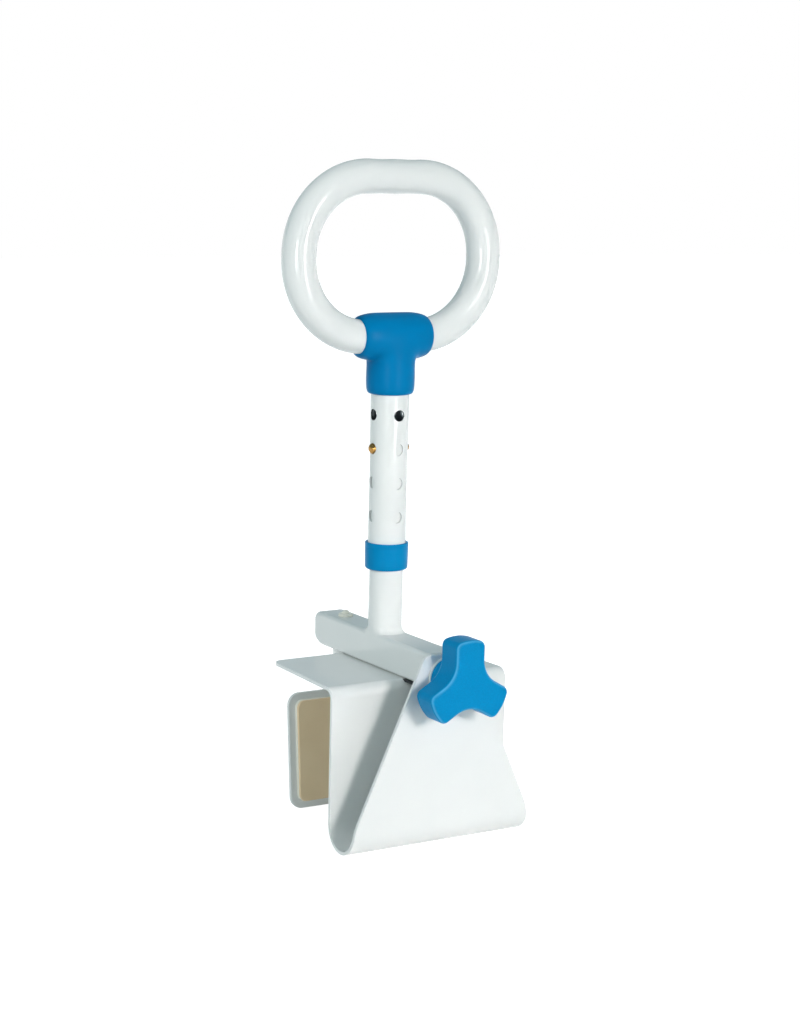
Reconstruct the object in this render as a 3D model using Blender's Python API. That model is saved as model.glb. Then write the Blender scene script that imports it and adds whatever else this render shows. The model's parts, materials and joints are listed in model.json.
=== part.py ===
"""Bath safety rail: a grip ring on a height-adjustable post, clamped over the wall of a bathtub.

The origin is on the post's axis, on the plane of the tub's rim (the underside of the bracket's flange).
X runs along the rim, -Y points to the user's side with the knob, +Z is up. Sizes are in millimetres and
MM turns them into Blender's metres.
"""

import bpy
import bmesh
from math import asin, atan2, cos, degrees, hypot, pi, radians, sin, sqrt, tan
from mathutils import Matrix, Vector

MM = 0.001

# Clearances
GAP = 0.3                    # between two pieces that touch or slide
HOLE_PLAY = 0.25             # around a snap button, on the radius
CLOSED_GAP = 4.3             # flange's rear edge to the jaw's stem with the clamp fully closed

# Bracket, one bent sheet
SHEET_T = 2.5
SHEET_HALF_WIDTH = 75.5
FLANGE_REAR_Y = 45.0
FLANGE_FLAT = 90.0
FLANGE_CORNER_R = 8.0
FLANGE_TAPER = 3.5           # on each side, from the bend to the flange's rear edge
BEND_INNER_R = 5.5
SHEET_DROP = 98.1            # rim plane down to the centre of the bottom bend
POCKET_INNER_R = 15.9        # inner radius of the bottom bend
FRONT_TOP_HALF_WIDTH = 18.4
FRONT_TOP_CORNER_R = 8.0
FRONT_SIDE_R = 50.0          # where the tapered edge turns into the straight one

# Beam that slides on the flange, and its ends
BEAM_SIZE = 25.4
BEAM_WALL = 1.6
BEAM_CORNER_R = 3.0
BEAM_TAIL = 23.7             # beam's rear end behind the flange's rear edge
CAP_HEAD = 21.0
CAP_SPIGOT = 5.0
CAP_TOP_R = 9.0
CAP_PLAN_R = 7.5
CAP_END_CORNER_R = 5.5       # the section's corners grow to this from the beam's own
CAP_STEPS = 9
CAP_BOTTOM_DEPTH = 16.0      # bottom edge of the cap: how far its curve runs along the beam
CAP_BOTTOM_RISE = 12.0       # and how far it climbs up the end
BLOCK_LENGTH = 14.0
BLOCK_INSET = 3.5

# Post, outer tube and their holes
POST_WALL = 2.0
POST_ABOVE_BUTTON = 14.2
TUBE_D = 28.6
TUBE_WALL = 1.3
TUBE_LIFT = 50.5             # beam's top to the outer tube's lower end
FIRST_HOLE = 38.3            # outer tube's lower end to the lowest row of holes
HOLE_PITCH = 25.4
HOLE_ROWS = 4
BUTTON_ROW = 2               # the row that the buttons sit in, counted from 0 at the bottom
TUBE_TO_TEE = 172.4          # outer tube's lower end to the centre line of the ring's ends
COPE_DROP = 5.0              # top of the outer tube below that centre line
WELD_TOE = 4.2

# Snap buttons and their spring
BUTTON_D = 8.0
BUTTON_REACH = 2.7           # how far a button stands out of the outer tube
BUTTON_DOME = 2.3
SPRING_T = 0.8
SPRING_WIDTH = 6.5
SPRING_DROP = 42.0
SPRING_TIP = 5.0
SPRING_BEND_R = 3.2

# Collar at the lower end of the outer tube
COLLAR_WALL = 1.8            # round the outer tube
COLLAR_HEIGHT = 20.4
COLLAR_LIP = 2.1
COLLAR_TAPER = 0.35          # on each side, from the top to the lower edge
COLLAR_EDGE_R = 2.0
COLLAR_RIM_R = 0.6

# Grip ring and the joint that covers its ends
RING_D = 25.4
RING_WALL = 1.6
RING_BEND_R = 57.0
RING_STRAIGHT = 44.6
RING_SIDE = 3.0
SPIGOT_LENGTH = 30.0
TEE_ARM_WALL = 4.7           # round the ring's ends
TEE_ARM_HALF_LENGTH = 29.2
TEE_SOCKET_WALL = 3.6        # round the outer tube
TEE_DROP = 42.5              # ring's centre line down to the joint's lower rim
TEE_RIM_R = 4.0
SEAM_BEAD = 1.1

# Clamp screw, knob and what guides them
SCREW_RISE = 8.2             # screw's axis above the beam's underside
SCREW_D = 10.0
THREAD_DEPTH = 1.25
THREAD_PITCH = 3.0
CLAMP_TRAVEL = 63.0
SCREW_SPARE = 3.0            # thread left in the block with the clamp fully open
SCREW_HEAD_FLATS = 16.0
SCREW_HEAD_T = 6.0
HEAD_COVER = 8.0             # knob's front face to the screw's head
GROOVE_DEPTH = 1.2
RETAINER_T = 1.0
RETAINER_D = 12.4
WASHER_D = 31.4
WASHER_T = 2.1
HUB_D = 31.2
HUB_T = 7.4
KNOB_DEPTH = 22.4
KNOB_REACH = 33.6
LOBE_HALF_WIDTH = 12.2
LOBE_CORNER_R = 5.0
LOBE_ROOT_R = 20.0
KNOB_EDGE_R = 3.0
SHOE_LEG_T = 1.9
SHOE_TONGUE_T = 1.7
SHOE_TOP_INSET = 3.0         # top of the shoe's leg below the beam's top

# Jaw that hangs from the beam behind the tub's wall
STEM_D = 19.0
STEM_WALL = 2.0
STEM_LENGTH = 78.0
JAW_PLATE_T = 3.0
JAW_HALF_WIDTH = 54.6
JAW_HEIGHT = 90.4
JAW_CORNER_R = 10.0
JAW_TILT = 5.0
JAW_CENTRE_Z = -71.7
JAW_SINK = 0.2               # plate's rear face behind the stem's front, at the plate's centre
JAW_WELD = 3.6
JAW_PAD_T = 4.0
PAD_T = 3.0
PAD_MARGIN = 5.6
PAD_CORNER_R = 6.0
BRACKET_PAD_HALF_WIDTH = 50.0
BRACKET_PAD_TOP = 24.0       # rim plane down to the bracket pad's upper edge
BRACKET_PAD_HEIGHT = 70.0
BOLT_D = 6.0
BOLT_HEAD_D = 10.0
BOLT_HEAD_T = 6.0
BOLT_LENGTH = 16.0
BOLT_SOCKET_FLATS = 5.0
BOLT_SOCKET_DEPTH = 3.2
INSERT_LENGTH = 18.0
ACCESS_D = 10.4
PLUG_HEAD_D = 11.4
PLUG_HEAD_T = 1.8
PLUG_DOME_D = 6.0
PLUG_DOME_T = 2.6
PLUG_SHANK = 5.0

# Places worked out from the sizes above
BEND_Y = FLANGE_REAR_Y - FLANGE_FLAT
PLATE_REAR_Y = BEND_Y - BEND_INNER_R
PLATE_FRONT_Y = PLATE_REAR_Y - SHEET_T
POCKET_Y = PLATE_FRONT_Y - POCKET_INNER_R
FRONT_INNER_Y = POCKET_Y - POCKET_INNER_R
FRONT_OUTER_Y = FRONT_INNER_Y - SHEET_T
BEAM_BOTTOM = SHEET_T + GAP
BEAM_TOP = BEAM_BOTTOM + BEAM_SIZE
BEAM_MID_Z = BEAM_BOTTOM + BEAM_SIZE / 2
BEAM_FRONT_Y = FRONT_INNER_Y + GAP + SHOE_LEG_T + GAP
BEAM_REAR_Y = FLANGE_REAR_Y + BEAM_TAIL
BEAM_BORE = BEAM_SIZE - 2 * BEAM_WALL
BEAM_BORE_R = max(BEAM_CORNER_R - BEAM_WALL, 0.5)
SCREW_Z = BEAM_BOTTOM + SCREW_RISE
SCREW_R = SCREW_D / 2
BLOCK_FRONT_Y = BEAM_FRONT_Y + BLOCK_INSET
BLOCK_REAR_Y = BLOCK_FRONT_Y + BLOCK_LENGTH
SCREW_TIP_Y = BLOCK_REAR_Y + CLAMP_TRAVEL + SCREW_SPARE
STEM_Y = FLANGE_REAR_Y + CLOSED_GAP + STEM_D / 2
JAW_REAR_Y = STEM_Y - STEM_D / 2 + JAW_SINK
TUBE_BOTTOM = BEAM_TOP + TUBE_LIFT
TUBE_BORE_R = TUBE_D / 2 - TUBE_WALL
POST_D = 2 * (TUBE_BORE_R - GAP)
COLLAR_D = TUBE_D + 2 * (GAP + COLLAR_WALL)
TEE_ARM_R = RING_D / 2 + GAP + TEE_ARM_WALL
TEE_SOCKET_R = TUBE_D / 2 + GAP + TEE_SOCKET_WALL
BUTTON_Z = TUBE_BOTTOM + FIRST_HOLE + BUTTON_ROW * HOLE_PITCH
POST_TOP = BUTTON_Z + POST_ABOVE_BUTTON
TEE_Z = TUBE_BOTTOM + TUBE_TO_TEE
HOLE_R = BUTTON_D / 2 + HOLE_PLAY
WASHER_FRONT_Y = FRONT_OUTER_Y - GAP - WASHER_T
HUB_REAR_Y = WASHER_FRONT_Y - GAP
LOBE_REAR_Y = HUB_REAR_Y - HUB_T
KNOB_FRONT_Y = LOBE_REAR_Y - KNOB_DEPTH

# Colours: base colour, roughness, metallic
WHITE = ("white_powder_coat", (0.86, 0.88, 0.88), 0.28, 0.0)
WHITE_PLASTIC = ("white_plastic", (0.84, 0.85, 0.84), 0.35, 0.0)
BLUE = ("blue_plastic", (0.0, 0.27, 0.60), 0.42, 0.0)
CREAM = ("cream_plastic", (0.76, 0.71, 0.60), 0.45, 0.0)
TAN = ("tan_rubber", (0.40, 0.32, 0.21), 0.75, 0.0)
GREY = ("grey_rubber", (0.22, 0.24, 0.23), 0.75, 0.0)
BLACK = ("black_nylon", (0.02, 0.022, 0.025), 0.5, 0.0)
BRASS = ("brass", (0.62, 0.36, 0.11), 0.3, 1.0)
STEEL = ("zinc_plated_steel", (0.62, 0.63, 0.64), 0.32, 1.0)
WELD = ("painted_weld", (0.84, 0.86, 0.86), 0.35, 0.0)
SPRING = ("spring_steel", (0.45, 0.45, 0.46), 0.3, 1.0)

# How finely round forms are divided: sides of circles and of the ring's tube, degrees per section of the ring
ROUND_STEPS = 32
SMALL_STEPS = 16
RING_SIDES = 24
RING_STEP = 9.0
POCKET_STEPS = 16


def clear_scene():
    """Remove every object, so that the script starts from nothing."""
    for obj in list(bpy.data.objects):
        bpy.data.objects.remove(obj, do_unlink=True)


def material(finish):
    name, colour, roughness, metallic = finish
    if name in bpy.data.materials:
        return bpy.data.materials[name]
    mat = bpy.data.materials.new(name)
    mat.use_nodes = True
    shader = mat.node_tree.nodes["Principled BSDF"]
    shader.inputs["Base Color"].default_value = (*colour, 1.0)
    shader.inputs["Roughness"].default_value = roughness
    shader.inputs["Metallic"].default_value = metallic
    mat.diffuse_color = (*colour, 1.0)
    return mat


def axis_empty(name, place, parent=None):
    """An empty on a joint's axis, which carries one moving body."""
    empty = bpy.data.objects.new(name, None)
    empty.empty_display_size = 0.02
    bpy.context.collection.objects.link(empty)
    empty.parent = parent
    start = parent.matrix_world.translation if parent else Vector()
    empty.location = Vector(place) * MM - start
    bpy.context.view_layer.update()
    return empty


def make_object(name, mesh_mm, finish, body, sharp=35.0):
    """Turn a bmesh in millimetres, at its place in the assembly, into a named object carried by its body."""
    bmesh.ops.recalc_face_normals(mesh_mm, faces=mesh_mm.faces)
    origin = body.matrix_world.translation.copy() if body else Vector()
    place = Matrix.Translation(-origin) @ Matrix.Scale(MM, 4)
    bmesh.ops.transform(mesh_mm, verts=mesh_mm.verts, matrix=place)
    mesh = bpy.data.meshes.new(name)
    mesh_mm.to_mesh(mesh)
    mesh_mm.free()
    mesh.shade_smooth()
    mesh.set_sharp_from_angle(angle=radians(sharp))
    obj = bpy.data.objects.new(name, mesh)
    obj.parent = body
    if finish:
        mesh.materials.append(material(finish))
    bpy.context.collection.objects.link(obj)
    return obj


def cutter(name, mesh_mm):
    """A hidden solid that is only used by a Boolean."""
    obj = make_object("cutter_" + name, mesh_mm, None, None)
    obj.hide_render = True
    obj.display_type = "WIRE"
    return obj


def boolean(obj, other, operation="DIFFERENCE"):
    mod = obj.modifiers.new(other.name, "BOOLEAN")
    mod.operation = operation
    mod.solver = "EXACT"
    mod.object = other


def bevel(obj, width, segments=3, angle=30.0):
    mod = obj.modifiers.new("edge_round", "BEVEL")
    mod.width = width * MM
    mod.segments = segments
    mod.limit_method = "ANGLE"
    mod.angle_limit = radians(angle)


# Outlines: lists of points in a plane

def arc(centre, radius, start, end, steps):
    """Points on an arc from one angle to another, in degrees, ends included."""
    angles = [radians(start + (end - start) * i / steps) for i in range(steps + 1)]
    return [(centre[0] + radius * cos(a), centre[1] + radius * sin(a)) for a in angles]


def rounded_box(half_x, half_y, radius, steps=4, centre=(0.0, 0.0)):
    """A rectangle with four equal round corners."""
    points = []
    for sign_x, sign_y, start in ((1, 1, 0), (-1, 1, 90), (-1, -1, 180), (1, -1, 270)):
        corner = (centre[0] + sign_x * (half_x - radius), centre[1] + sign_y * (half_y - radius))
        points += arc(corner, radius, start, start + 90, steps)
    return points


def circle(radius, steps=ROUND_STEPS, centre=(0.0, 0.0), turn=0.0):
    return arc(centre, radius, turn, turn + 360 - 360 / steps, steps - 1)


def hexagon(flats, centre=(0.0, 0.0), turn=0.0):
    return arc(centre, flats / sqrt(3), turn, turn + 300, 5)


def ribbon(path, thickness):
    """The closed outline of a strip of even thickness along an open path."""
    sides = ([], [])
    for i, point in enumerate(path):
        before = path[max(i - 1, 0)]
        after = path[min(i + 1, len(path) - 1)]
        length = hypot(after[0] - before[0], after[1] - before[1])
        normal = ((before[1] - after[1]) / length, (after[0] - before[0]) / length)
        for side, offset in zip(sides, (thickness / 2, -thickness / 2)):
            side.append((point[0] + offset * normal[0], point[1] + offset * normal[1]))
    return sides[0] + sides[1][::-1]


# Solids: bmeshes in millimetres

PLANES = {
    "X": lambda a, b, depth: (depth, a, b),
    "Y": lambda a, b, depth: (a, depth, b),
    "Z": lambda a, b, depth: (a, b, depth),
}


def prism(outline, axis, start, end, holes=()):
    """An outline, with or without holes of any shape, extruded along an axis."""
    bm = bmesh.new()
    place = PLANES[axis]
    edges = []
    for loop in (outline, *holes):
        verts = [bm.verts.new(place(a, b, start)) for a, b in loop]
        edges += [bm.edges.new((verts[i - 1], verts[i])) for i in range(len(verts))]
    if holes:
        bmesh.ops.triangle_fill(bm, edges=edges, use_beauty=True)
    else:
        bm.faces.new(verts)
    grown = bmesh.ops.extrude_face_region(bm, geom=list(bm.faces))["geom"]
    shift = Vector(place(0, 0, end - start))
    bmesh.ops.translate(bm, verts=[v for v in grown if isinstance(v, bmesh.types.BMVert)], vec=shift)
    return bm


def turned(profile, axis, steps=ROUND_STEPS, centre=(0.0, 0.0), turn=0.0):
    """A closed profile of (radius, distance along the axis) spun round an axis through centre."""
    bm = bmesh.new()
    place = PLANES[axis]
    rings = []
    for radius, along in profile:
        if radius < 1e-6:
            rings.append([bm.verts.new(place(*centre, along))])
            continue
        rings.append([bm.verts.new(place(a, b, along)) for a, b in circle(radius, steps, centre, turn)])
    for lower, upper in zip(rings, rings[1:] + rings[:1]):
        join_rings(bm, lower, upper)
    return bm


def join_rings(bm, lower, upper):
    """Bridge two rings with the same number of points, or a ring and a single point."""
    if len(lower) == 1 and len(upper) == 1:
        return
    count = max(len(lower), len(upper))
    for i in range(count):
        j = (i + 1) % count
        corners = [lower[i % len(lower)], lower[j % len(lower)], upper[j % len(upper)], upper[i % len(upper)]]
        bm.faces.new(list(dict.fromkeys(corners)))


def swept(path, tangents, radius, sides):
    """A round bar along a path in the plane Y = 0, as a list of rings in a new bmesh."""
    bm = bmesh.new()
    rings = []
    for (x, z), (tx, tz) in zip(path, tangents):
        ring = []
        for a, b in circle(radius, sides):
            ring.append(bm.verts.new((x - tz * a, b, z + tx * a)))
        rings.append(ring)
    for lower, upper in zip(rings, rings[1:]):
        join_rings(bm, lower, upper)
    return bm, rings


# Bracket

def front_half_width(height):
    """Half-width of the front plate at a height above the bottom bend, measured along the sheet."""
    full = SHEET_DROP + BEAM_TOP
    slope = (SHEET_HALF_WIDTH - FRONT_TOP_HALF_WIDTH) / full
    angle = atan2(SHEET_HALF_WIDTH - FRONT_TOP_HALF_WIDTH, full)
    reach = FRONT_SIDE_R * tan(angle / 2)
    if height <= -reach:
        return SHEET_HALF_WIDTH
    if height < reach * cos(angle):
        return SHEET_HALF_WIDTH - FRONT_SIDE_R + sqrt(FRONT_SIDE_R ** 2 - (height + reach) ** 2)
    straight = SHEET_HALF_WIDTH - slope * height
    # The top corner is an arc that touches the tapered edge and the top edge
    corner_z = full - FRONT_TOP_CORNER_R
    corner_x = SHEET_HALF_WIDTH - slope * corner_z - FRONT_TOP_CORNER_R / cos(angle)
    touch = corner_z + FRONT_TOP_CORNER_R * sin(angle)
    if height <= touch:
        return straight
    return corner_x + sqrt(max(FRONT_TOP_CORNER_R ** 2 - (height - corner_z) ** 2, 0.0))


def bend_points(y, z, inner_r, angle):
    """Outer and inner point of the sheet where it bends round a centre, as (Y, Z)."""
    return [(y + r * cos(angle), z + r * sin(angle)) for r in (inner_r + SHEET_T, inner_r)]


def sheet_stations():
    """Sections along the bent sheet: upper or inner face, lower or outer face, half-width."""
    stations = []
    rear_corner = FLANGE_REAR_Y - FLANGE_CORNER_R
    rear_half_width = SHEET_HALF_WIDTH - FLANGE_TAPER
    for angle in range(0, 91, 15):
        y = rear_corner + FLANGE_CORNER_R * cos(radians(angle))
        half = rear_half_width - FLANGE_CORNER_R + FLANGE_CORNER_R * sin(radians(angle))
        stations.append(((y, SHEET_T), (y, 0.0), half))
    for angle in range(90, 181, 15):
        a = radians(angle)
        outer, inner = bend_points(BEND_Y, -BEND_INNER_R, BEND_INNER_R, a)
        stations.append((outer, inner, SHEET_HALF_WIDTH))
    mid_r = POCKET_INNER_R + SHEET_T / 2
    for step in range(0, POCKET_STEPS + 1):
        a = -pi * step / POCKET_STEPS
        outside, inside = bend_points(POCKET_Y, -SHEET_DROP, POCKET_INNER_R, a)
        stations.append((inside, outside, front_half_width(-(pi + a) * mid_r)))
    full = SHEET_DROP + BEAM_TOP
    heights = [share * FRONT_SIDE_R for share in (0.07, 0.15, 0.21)]
    heights.append(full - 1.25 * FRONT_TOP_CORNER_R)
    heights += [full - FRONT_TOP_CORNER_R * (1 - sin(radians(a))) for a in (12, 30, 45, 60, 75, 90)]
    for height in heights:
        z = height - SHEET_DROP
        stations.append(((FRONT_INNER_Y, z), (FRONT_OUTER_Y, z), front_half_width(height)))
    return stations


def make_bracket_sheet(body):
    bm = bmesh.new()
    rings = []
    for first, second, half in sheet_stations():
        corners = ((-half, first), (half, first), (half, second), (-half, second))
        rings.append([bm.verts.new((x, *point)) for x, point in corners])
    for lower, upper in zip(rings, rings[1:]):
        join_rings(bm, lower, upper)
    bm.faces.new(rings[0])
    bm.faces.new(rings[-1])
    sheet = make_object("bracket_sheet", bm, WHITE, body)
    hole = prism(circle(SCREW_R + GAP, 24, (0, SCREW_Z)), "Y", FRONT_OUTER_Y - 5, FRONT_INNER_Y + 5)
    boolean(sheet, cutter("screw_hole", hole))
    return sheet


def make_bracket_pad(body):
    mid = -BRACKET_PAD_TOP - BRACKET_PAD_HEIGHT / 2
    outline = rounded_box(BRACKET_PAD_HALF_WIDTH, BRACKET_PAD_HEIGHT / 2, PAD_CORNER_R, 5, (0, mid))
    start = PLATE_REAR_Y + GAP
    return make_object("bracket_pad", prism(outline, "Y", start, start + PAD_T), GREY, body)


def make_guide_shoe(body):
    """Nylon shoe behind the front plate, whose tongue carries the beam's front end."""
    front = FRONT_INNER_Y + GAP
    back = front + SHOE_LEG_T
    top = BEAM_TOP - SHOE_TOP_INSET
    tongue_top = BEAM_BOTTOM - GAP
    tongue_bottom = tongue_top - SHOE_TONGUE_T
    nest_r = BEND_INNER_R + SHEET_T + GAP
    upper = 180 - degrees(asin((tongue_top + BEND_INNER_R) / nest_r))
    lower = 180 - degrees(asin((tongue_bottom + BEND_INNER_R) / nest_r))
    nest = arc((BEND_Y, -BEND_INNER_R), nest_r, upper, lower, 5)
    outline = [(front, tongue_bottom), (front, top), (back, top), (back, tongue_top), *nest]
    half = BEAM_SIZE / 2 - 0.1
    shoe = make_object("guide_shoe", prism(outline, "X", -half, half), BLACK, body)
    hole = prism(circle(SCREW_R + GAP, 20, (0, SCREW_Z)), "Y", front - 5, back + 5)
    boolean(shoe, cutter("shoe_hole", hole))
    return shoe


def make_thrust_washer(body):
    rear = FRONT_OUTER_Y - GAP
    edge = 0.5
    outer = WASHER_D / 2
    profile = [(SCREW_R + GAP, rear), (outer, rear), (outer, WASHER_FRONT_Y + edge)]
    profile += [(outer - edge, WASHER_FRONT_Y), (SCREW_R + GAP, WASHER_FRONT_Y)]
    return make_object("thrust_washer", turned(profile, "Y", 40, (0, SCREW_Z)), WHITE_PLASTIC, body)


def groove_span():
    """Front and rear of the retainer's groove in the screw, just behind the shoe's leg."""
    front = FRONT_INNER_Y + GAP + SHOE_LEG_T + GAP
    return front, front + RETAINER_T


def make_screw_retainer(body):
    """Open clip in the screw's groove, which keeps the screw in the front plate."""
    front, rear = groove_span()
    inner = SCREW_R - GROOVE_DEPTH + GAP
    outer = RETAINER_D / 2
    mouth = 50
    outline = arc((0, SCREW_Z), outer, -90 + mouth, 270 - mouth, 20)
    outline += arc((0, SCREW_Z), inner, 270 - mouth, -90 + mouth, 16)
    return make_object("screw_retainer", prism(outline, "Y", front, rear), STEEL, body)


# Beam, post and jaw

def make_cross_beam(body):
    centre = (0, BEAM_MID_Z)
    outer = rounded_box(BEAM_SIZE / 2, BEAM_SIZE / 2, BEAM_CORNER_R, 5, centre)
    inner = rounded_box(BEAM_BORE / 2, BEAM_BORE / 2, BEAM_BORE_R, 2, centre)
    bm = prism(outer, "Y", BEAM_FRONT_Y, BEAM_REAR_Y, holes=[inner])
    beam = make_object("cross_beam", bm, WHITE, body)
    access = prism(circle(ACCESS_D / 2, 20, (0, STEM_Y)), "Z", BEAM_MID_Z, BEAM_TOP + 5)
    boolean(beam, cutter("access_hole", access))
    bolt = prism(circle(BOLT_D / 2 + GAP, SMALL_STEPS, (0, STEM_Y)), "Z", BEAM_BOTTOM - 5, BEAM_MID_Z)
    boolean(beam, cutter("beam_bolt_hole", bolt))
    return beam


def edge_drop(radius, run):
    """How far a quarter-round edge lies below its flat at a distance from the end."""
    return radius - sqrt(radius ** 2 - max(radius - run, 0.0) ** 2)


def cap_section(run):
    """The cap's outline at a distance from its end, narrowed there, its lower edge in a deep curve."""
    half = BEAM_SIZE / 2 - edge_drop(CAP_PLAN_R, run)
    top = BEAM_TOP - edge_drop(CAP_TOP_R, run)
    share = max(1 - run / CAP_BOTTOM_DEPTH, 0.0)
    bottom = BEAM_BOTTOM + CAP_BOTTOM_RISE * (1 - sqrt(1 - share ** 2))
    corner = BEAM_CORNER_R + (CAP_END_CORNER_R - BEAM_CORNER_R) * (1 - run / CAP_HEAD) ** 2
    corner = min(corner, 0.9 * half, 0.45 * (top - bottom))
    return rounded_box(half, (top - bottom) / 2, corner, 5, (0, (top + bottom) / 2))


def make_beam_end_cap(body):
    """Moulded end with a deep curve under it and a spigot that fits inside the beam."""
    start = BEAM_REAR_Y + GAP
    half = BEAM_BORE / 2 - GAP
    spigot = rounded_box(half, half, BEAM_BORE_R, 5, (0, BEAM_MID_Z))
    sections = [(start - CAP_SPIGOT, spigot), (start, spigot)]
    for step in range(CAP_STEPS + 1):
        run = CAP_HEAD * (1 - sin(radians(90 * step / CAP_STEPS)))
        sections.append((start + CAP_HEAD - run, cap_section(run)))
    bm = bmesh.new()
    rings = [[bm.verts.new((x, y, z)) for x, z in outline] for y, outline in sections]
    for lower, upper in zip(rings, rings[1:]):
        join_rings(bm, lower, upper)
    for end in (rings[0], rings[-1]):
        bm.faces.new(end)
    return make_object("beam_end_cap", bm, WHITE_PLASTIC, body)


def make_threaded_block(body):
    half = BEAM_BORE / 2 - GAP
    outline = rounded_box(half, half, BEAM_BORE_R, 2, (0, BEAM_MID_Z))
    bore = circle(SCREW_R + GAP, 24, (0, SCREW_Z))
    bm = prism(outline, "Y", BLOCK_FRONT_Y, BLOCK_REAR_Y, holes=[bore])
    return make_object("threaded_block", bm, STEEL, body)


def make_inner_post(body):
    outer = POST_D / 2
    inner = outer - POST_WALL
    bottom = BEAM_TOP + GAP
    edge = 0.5
    profile = [(inner, bottom), (outer, bottom), (outer, POST_TOP - edge)]
    profile += [(outer - edge, POST_TOP), (inner, POST_TOP)]
    post = make_object("inner_post", turned(profile, "Z"), WHITE, body)
    hole = prism(circle(HOLE_R, SMALL_STEPS, (0, BUTTON_Z)), "X", -POST_D, POST_D)
    boolean(post, cutter("post_button_hole", hole))
    return post


def make_post_weld(name, body, side):
    """Weld bead in front of the post (side -1) or behind it (side 1), as wide as the beam's flat top."""
    inner = POST_D / 2 + GAP
    bottom = BEAM_TOP + GAP
    profile = [(inner, bottom), (inner + WELD_TOE, bottom), (inner + WELD_TOE, bottom + 0.3)]
    for angle in (255, 240, 225, 210, 195):
        a = radians(angle)
        profile.append((inner + WELD_TOE * (1 + cos(a)), bottom + 0.3 + WELD_TOE * (1 + sin(a))))
    profile.append((inner, bottom + 0.3 + WELD_TOE))
    weld = make_object(name, turned(profile, "Z"), WELD, body)
    reach = POST_D / 2 + WELD_TOE
    half = BEAM_SIZE / 2 - GAP
    plan = [(x, side * y) for x, y in ((-half, GAP), (half, GAP), (half, 2 * reach), (-half, 2 * reach))]
    boolean(weld, cutter(name + "_plan", prism(plan, "Z", bottom - 5, bottom + 2 * WELD_TOE)), "INTERSECT")
    return weld


def make_snap_spring(body):
    """Hairpin leaf spring inside the post, which pushes both buttons out."""
    wall = POST_D / 2 - POST_WALL
    leg_x = sqrt(wall ** 2 - (SPRING_WIDTH / 2) ** 2) - GAP - SPRING_T / 2
    apex_z = BUTTON_Z - SPRING_DROP
    lean = degrees(atan2(leg_x - SPRING_BEND_R, SPRING_DROP - BUTTON_D / 2 - SPRING_TIP))
    bend = arc((0, apex_z), SPRING_BEND_R, 180 + lean, 360 - lean, 8)
    right = [(leg_x, BUTTON_Z - BUTTON_D / 2 - 2), (leg_x, BUTTON_Z + SPRING_TIP)]
    left = [(-x, z) for x, z in reversed(right)]
    outline = ribbon(left + bend + right, SPRING_T)
    bm = prism(outline, "Y", -SPRING_WIDTH / 2, SPRING_WIDTH / 2)
    return make_object("snap_spring", bm, SPRING, body), leg_x + SPRING_T / 2


def make_button(name, body, side, spring_face):
    """Domed brass button, turned about X; side is -1 on the left and 1 on the right."""
    start = spring_face + GAP
    radius = BUTTON_D / 2
    end = TUBE_D / 2 + BUTTON_REACH
    base = end - BUTTON_DOME
    profile = [(0, start), (radius, start), (radius, base)]
    for angle in (30, 60):
        profile.append((radius * cos(radians(angle)), base + BUTTON_DOME * sin(radians(angle))))
    profile.append((0, end))
    bm = turned([(r, side * x) for r, x in profile], "X", SMALL_STEPS, (0, BUTTON_Z))
    return make_object(name, bm, BRASS, body)


def jaw_frame():
    """Matrix of the jaw: local X along the rim, local Y up the plate, local Z out of its front face."""
    tilt = radians(JAW_TILT)
    up = Vector((0, sin(tilt), cos(tilt)))
    front = Vector((0, -cos(tilt), sin(tilt)))
    matrix = Matrix((Vector((1, 0, 0)), up, front)).transposed().to_4x4()
    matrix.translation = Vector((0, JAW_REAR_Y, JAW_CENTRE_Z))
    return matrix


def in_jaw(bm):
    bmesh.ops.transform(bm, verts=bm.verts, matrix=jaw_frame())
    return bm


def make_jaw_stem(body):
    """Tube from the beam down behind the jaw plate, cut back to the plate's rear face."""
    top = BEAM_BOTTOM - GAP
    outer = STEM_D / 2
    inner = outer - STEM_WALL
    profile = [(inner, top), (outer, top), (outer, top - STEM_LENGTH), (inner, top - STEM_LENGTH)]
    stem = make_object("jaw_stem", turned(profile, "Z", 24, (0, STEM_Y)), WHITE, body)
    reach = JAW_HEIGHT / 2 + GAP
    notch = rounded_box(STEM_D, reach, 0.5, 1)
    boolean(stem, cutter("stem_notch", in_jaw(prism(notch, "Z", -GAP, 2 * STEM_D))))
    return stem


def make_stem_insert(body):
    top = BEAM_BOTTOM - 2 * GAP
    radius = STEM_D / 2 - STEM_WALL - GAP
    bore = BOLT_D / 2 + GAP
    profile = [(bore, top), (radius, top), (radius, top - INSERT_LENGTH), (bore, top - INSERT_LENGTH)]
    return make_object("stem_insert", turned(profile, "Z", 20, (0, STEM_Y)), STEEL, body)


def make_jaw_bolt(body):
    """Socket-head screw from inside the beam down into the stem's insert."""
    seat = BEAM_BOTTOM + BEAM_WALL + GAP
    top = seat + BOLT_HEAD_T
    head = BOLT_HEAD_D / 2
    shank = BOLT_D / 2
    profile = [(0, seat - BOLT_LENGTH), (shank, seat - BOLT_LENGTH), (shank, seat), (head, seat),
               (head, top - 0.6), (head - 0.6, top), (0, top)]
    bolt = make_object("jaw_bolt", turned(profile, "Z", 18, (0, STEM_Y)), STEEL, body)
    socket = prism(hexagon(BOLT_SOCKET_FLATS, (0, STEM_Y)), "Z", top - BOLT_SOCKET_DEPTH, top + 5)
    boolean(bolt, cutter("bolt_socket", socket))
    return bolt


def make_jaw_plate(body):
    outline = rounded_box(JAW_HALF_WIDTH, JAW_HEIGHT / 2, JAW_CORNER_R, 6)
    plate = make_object("jaw_plate", in_jaw(prism(outline, "Z", 0, JAW_PLATE_T)), WHITE, body)
    bevel(plate, 0.8, 2, 60)
    return plate


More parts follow.
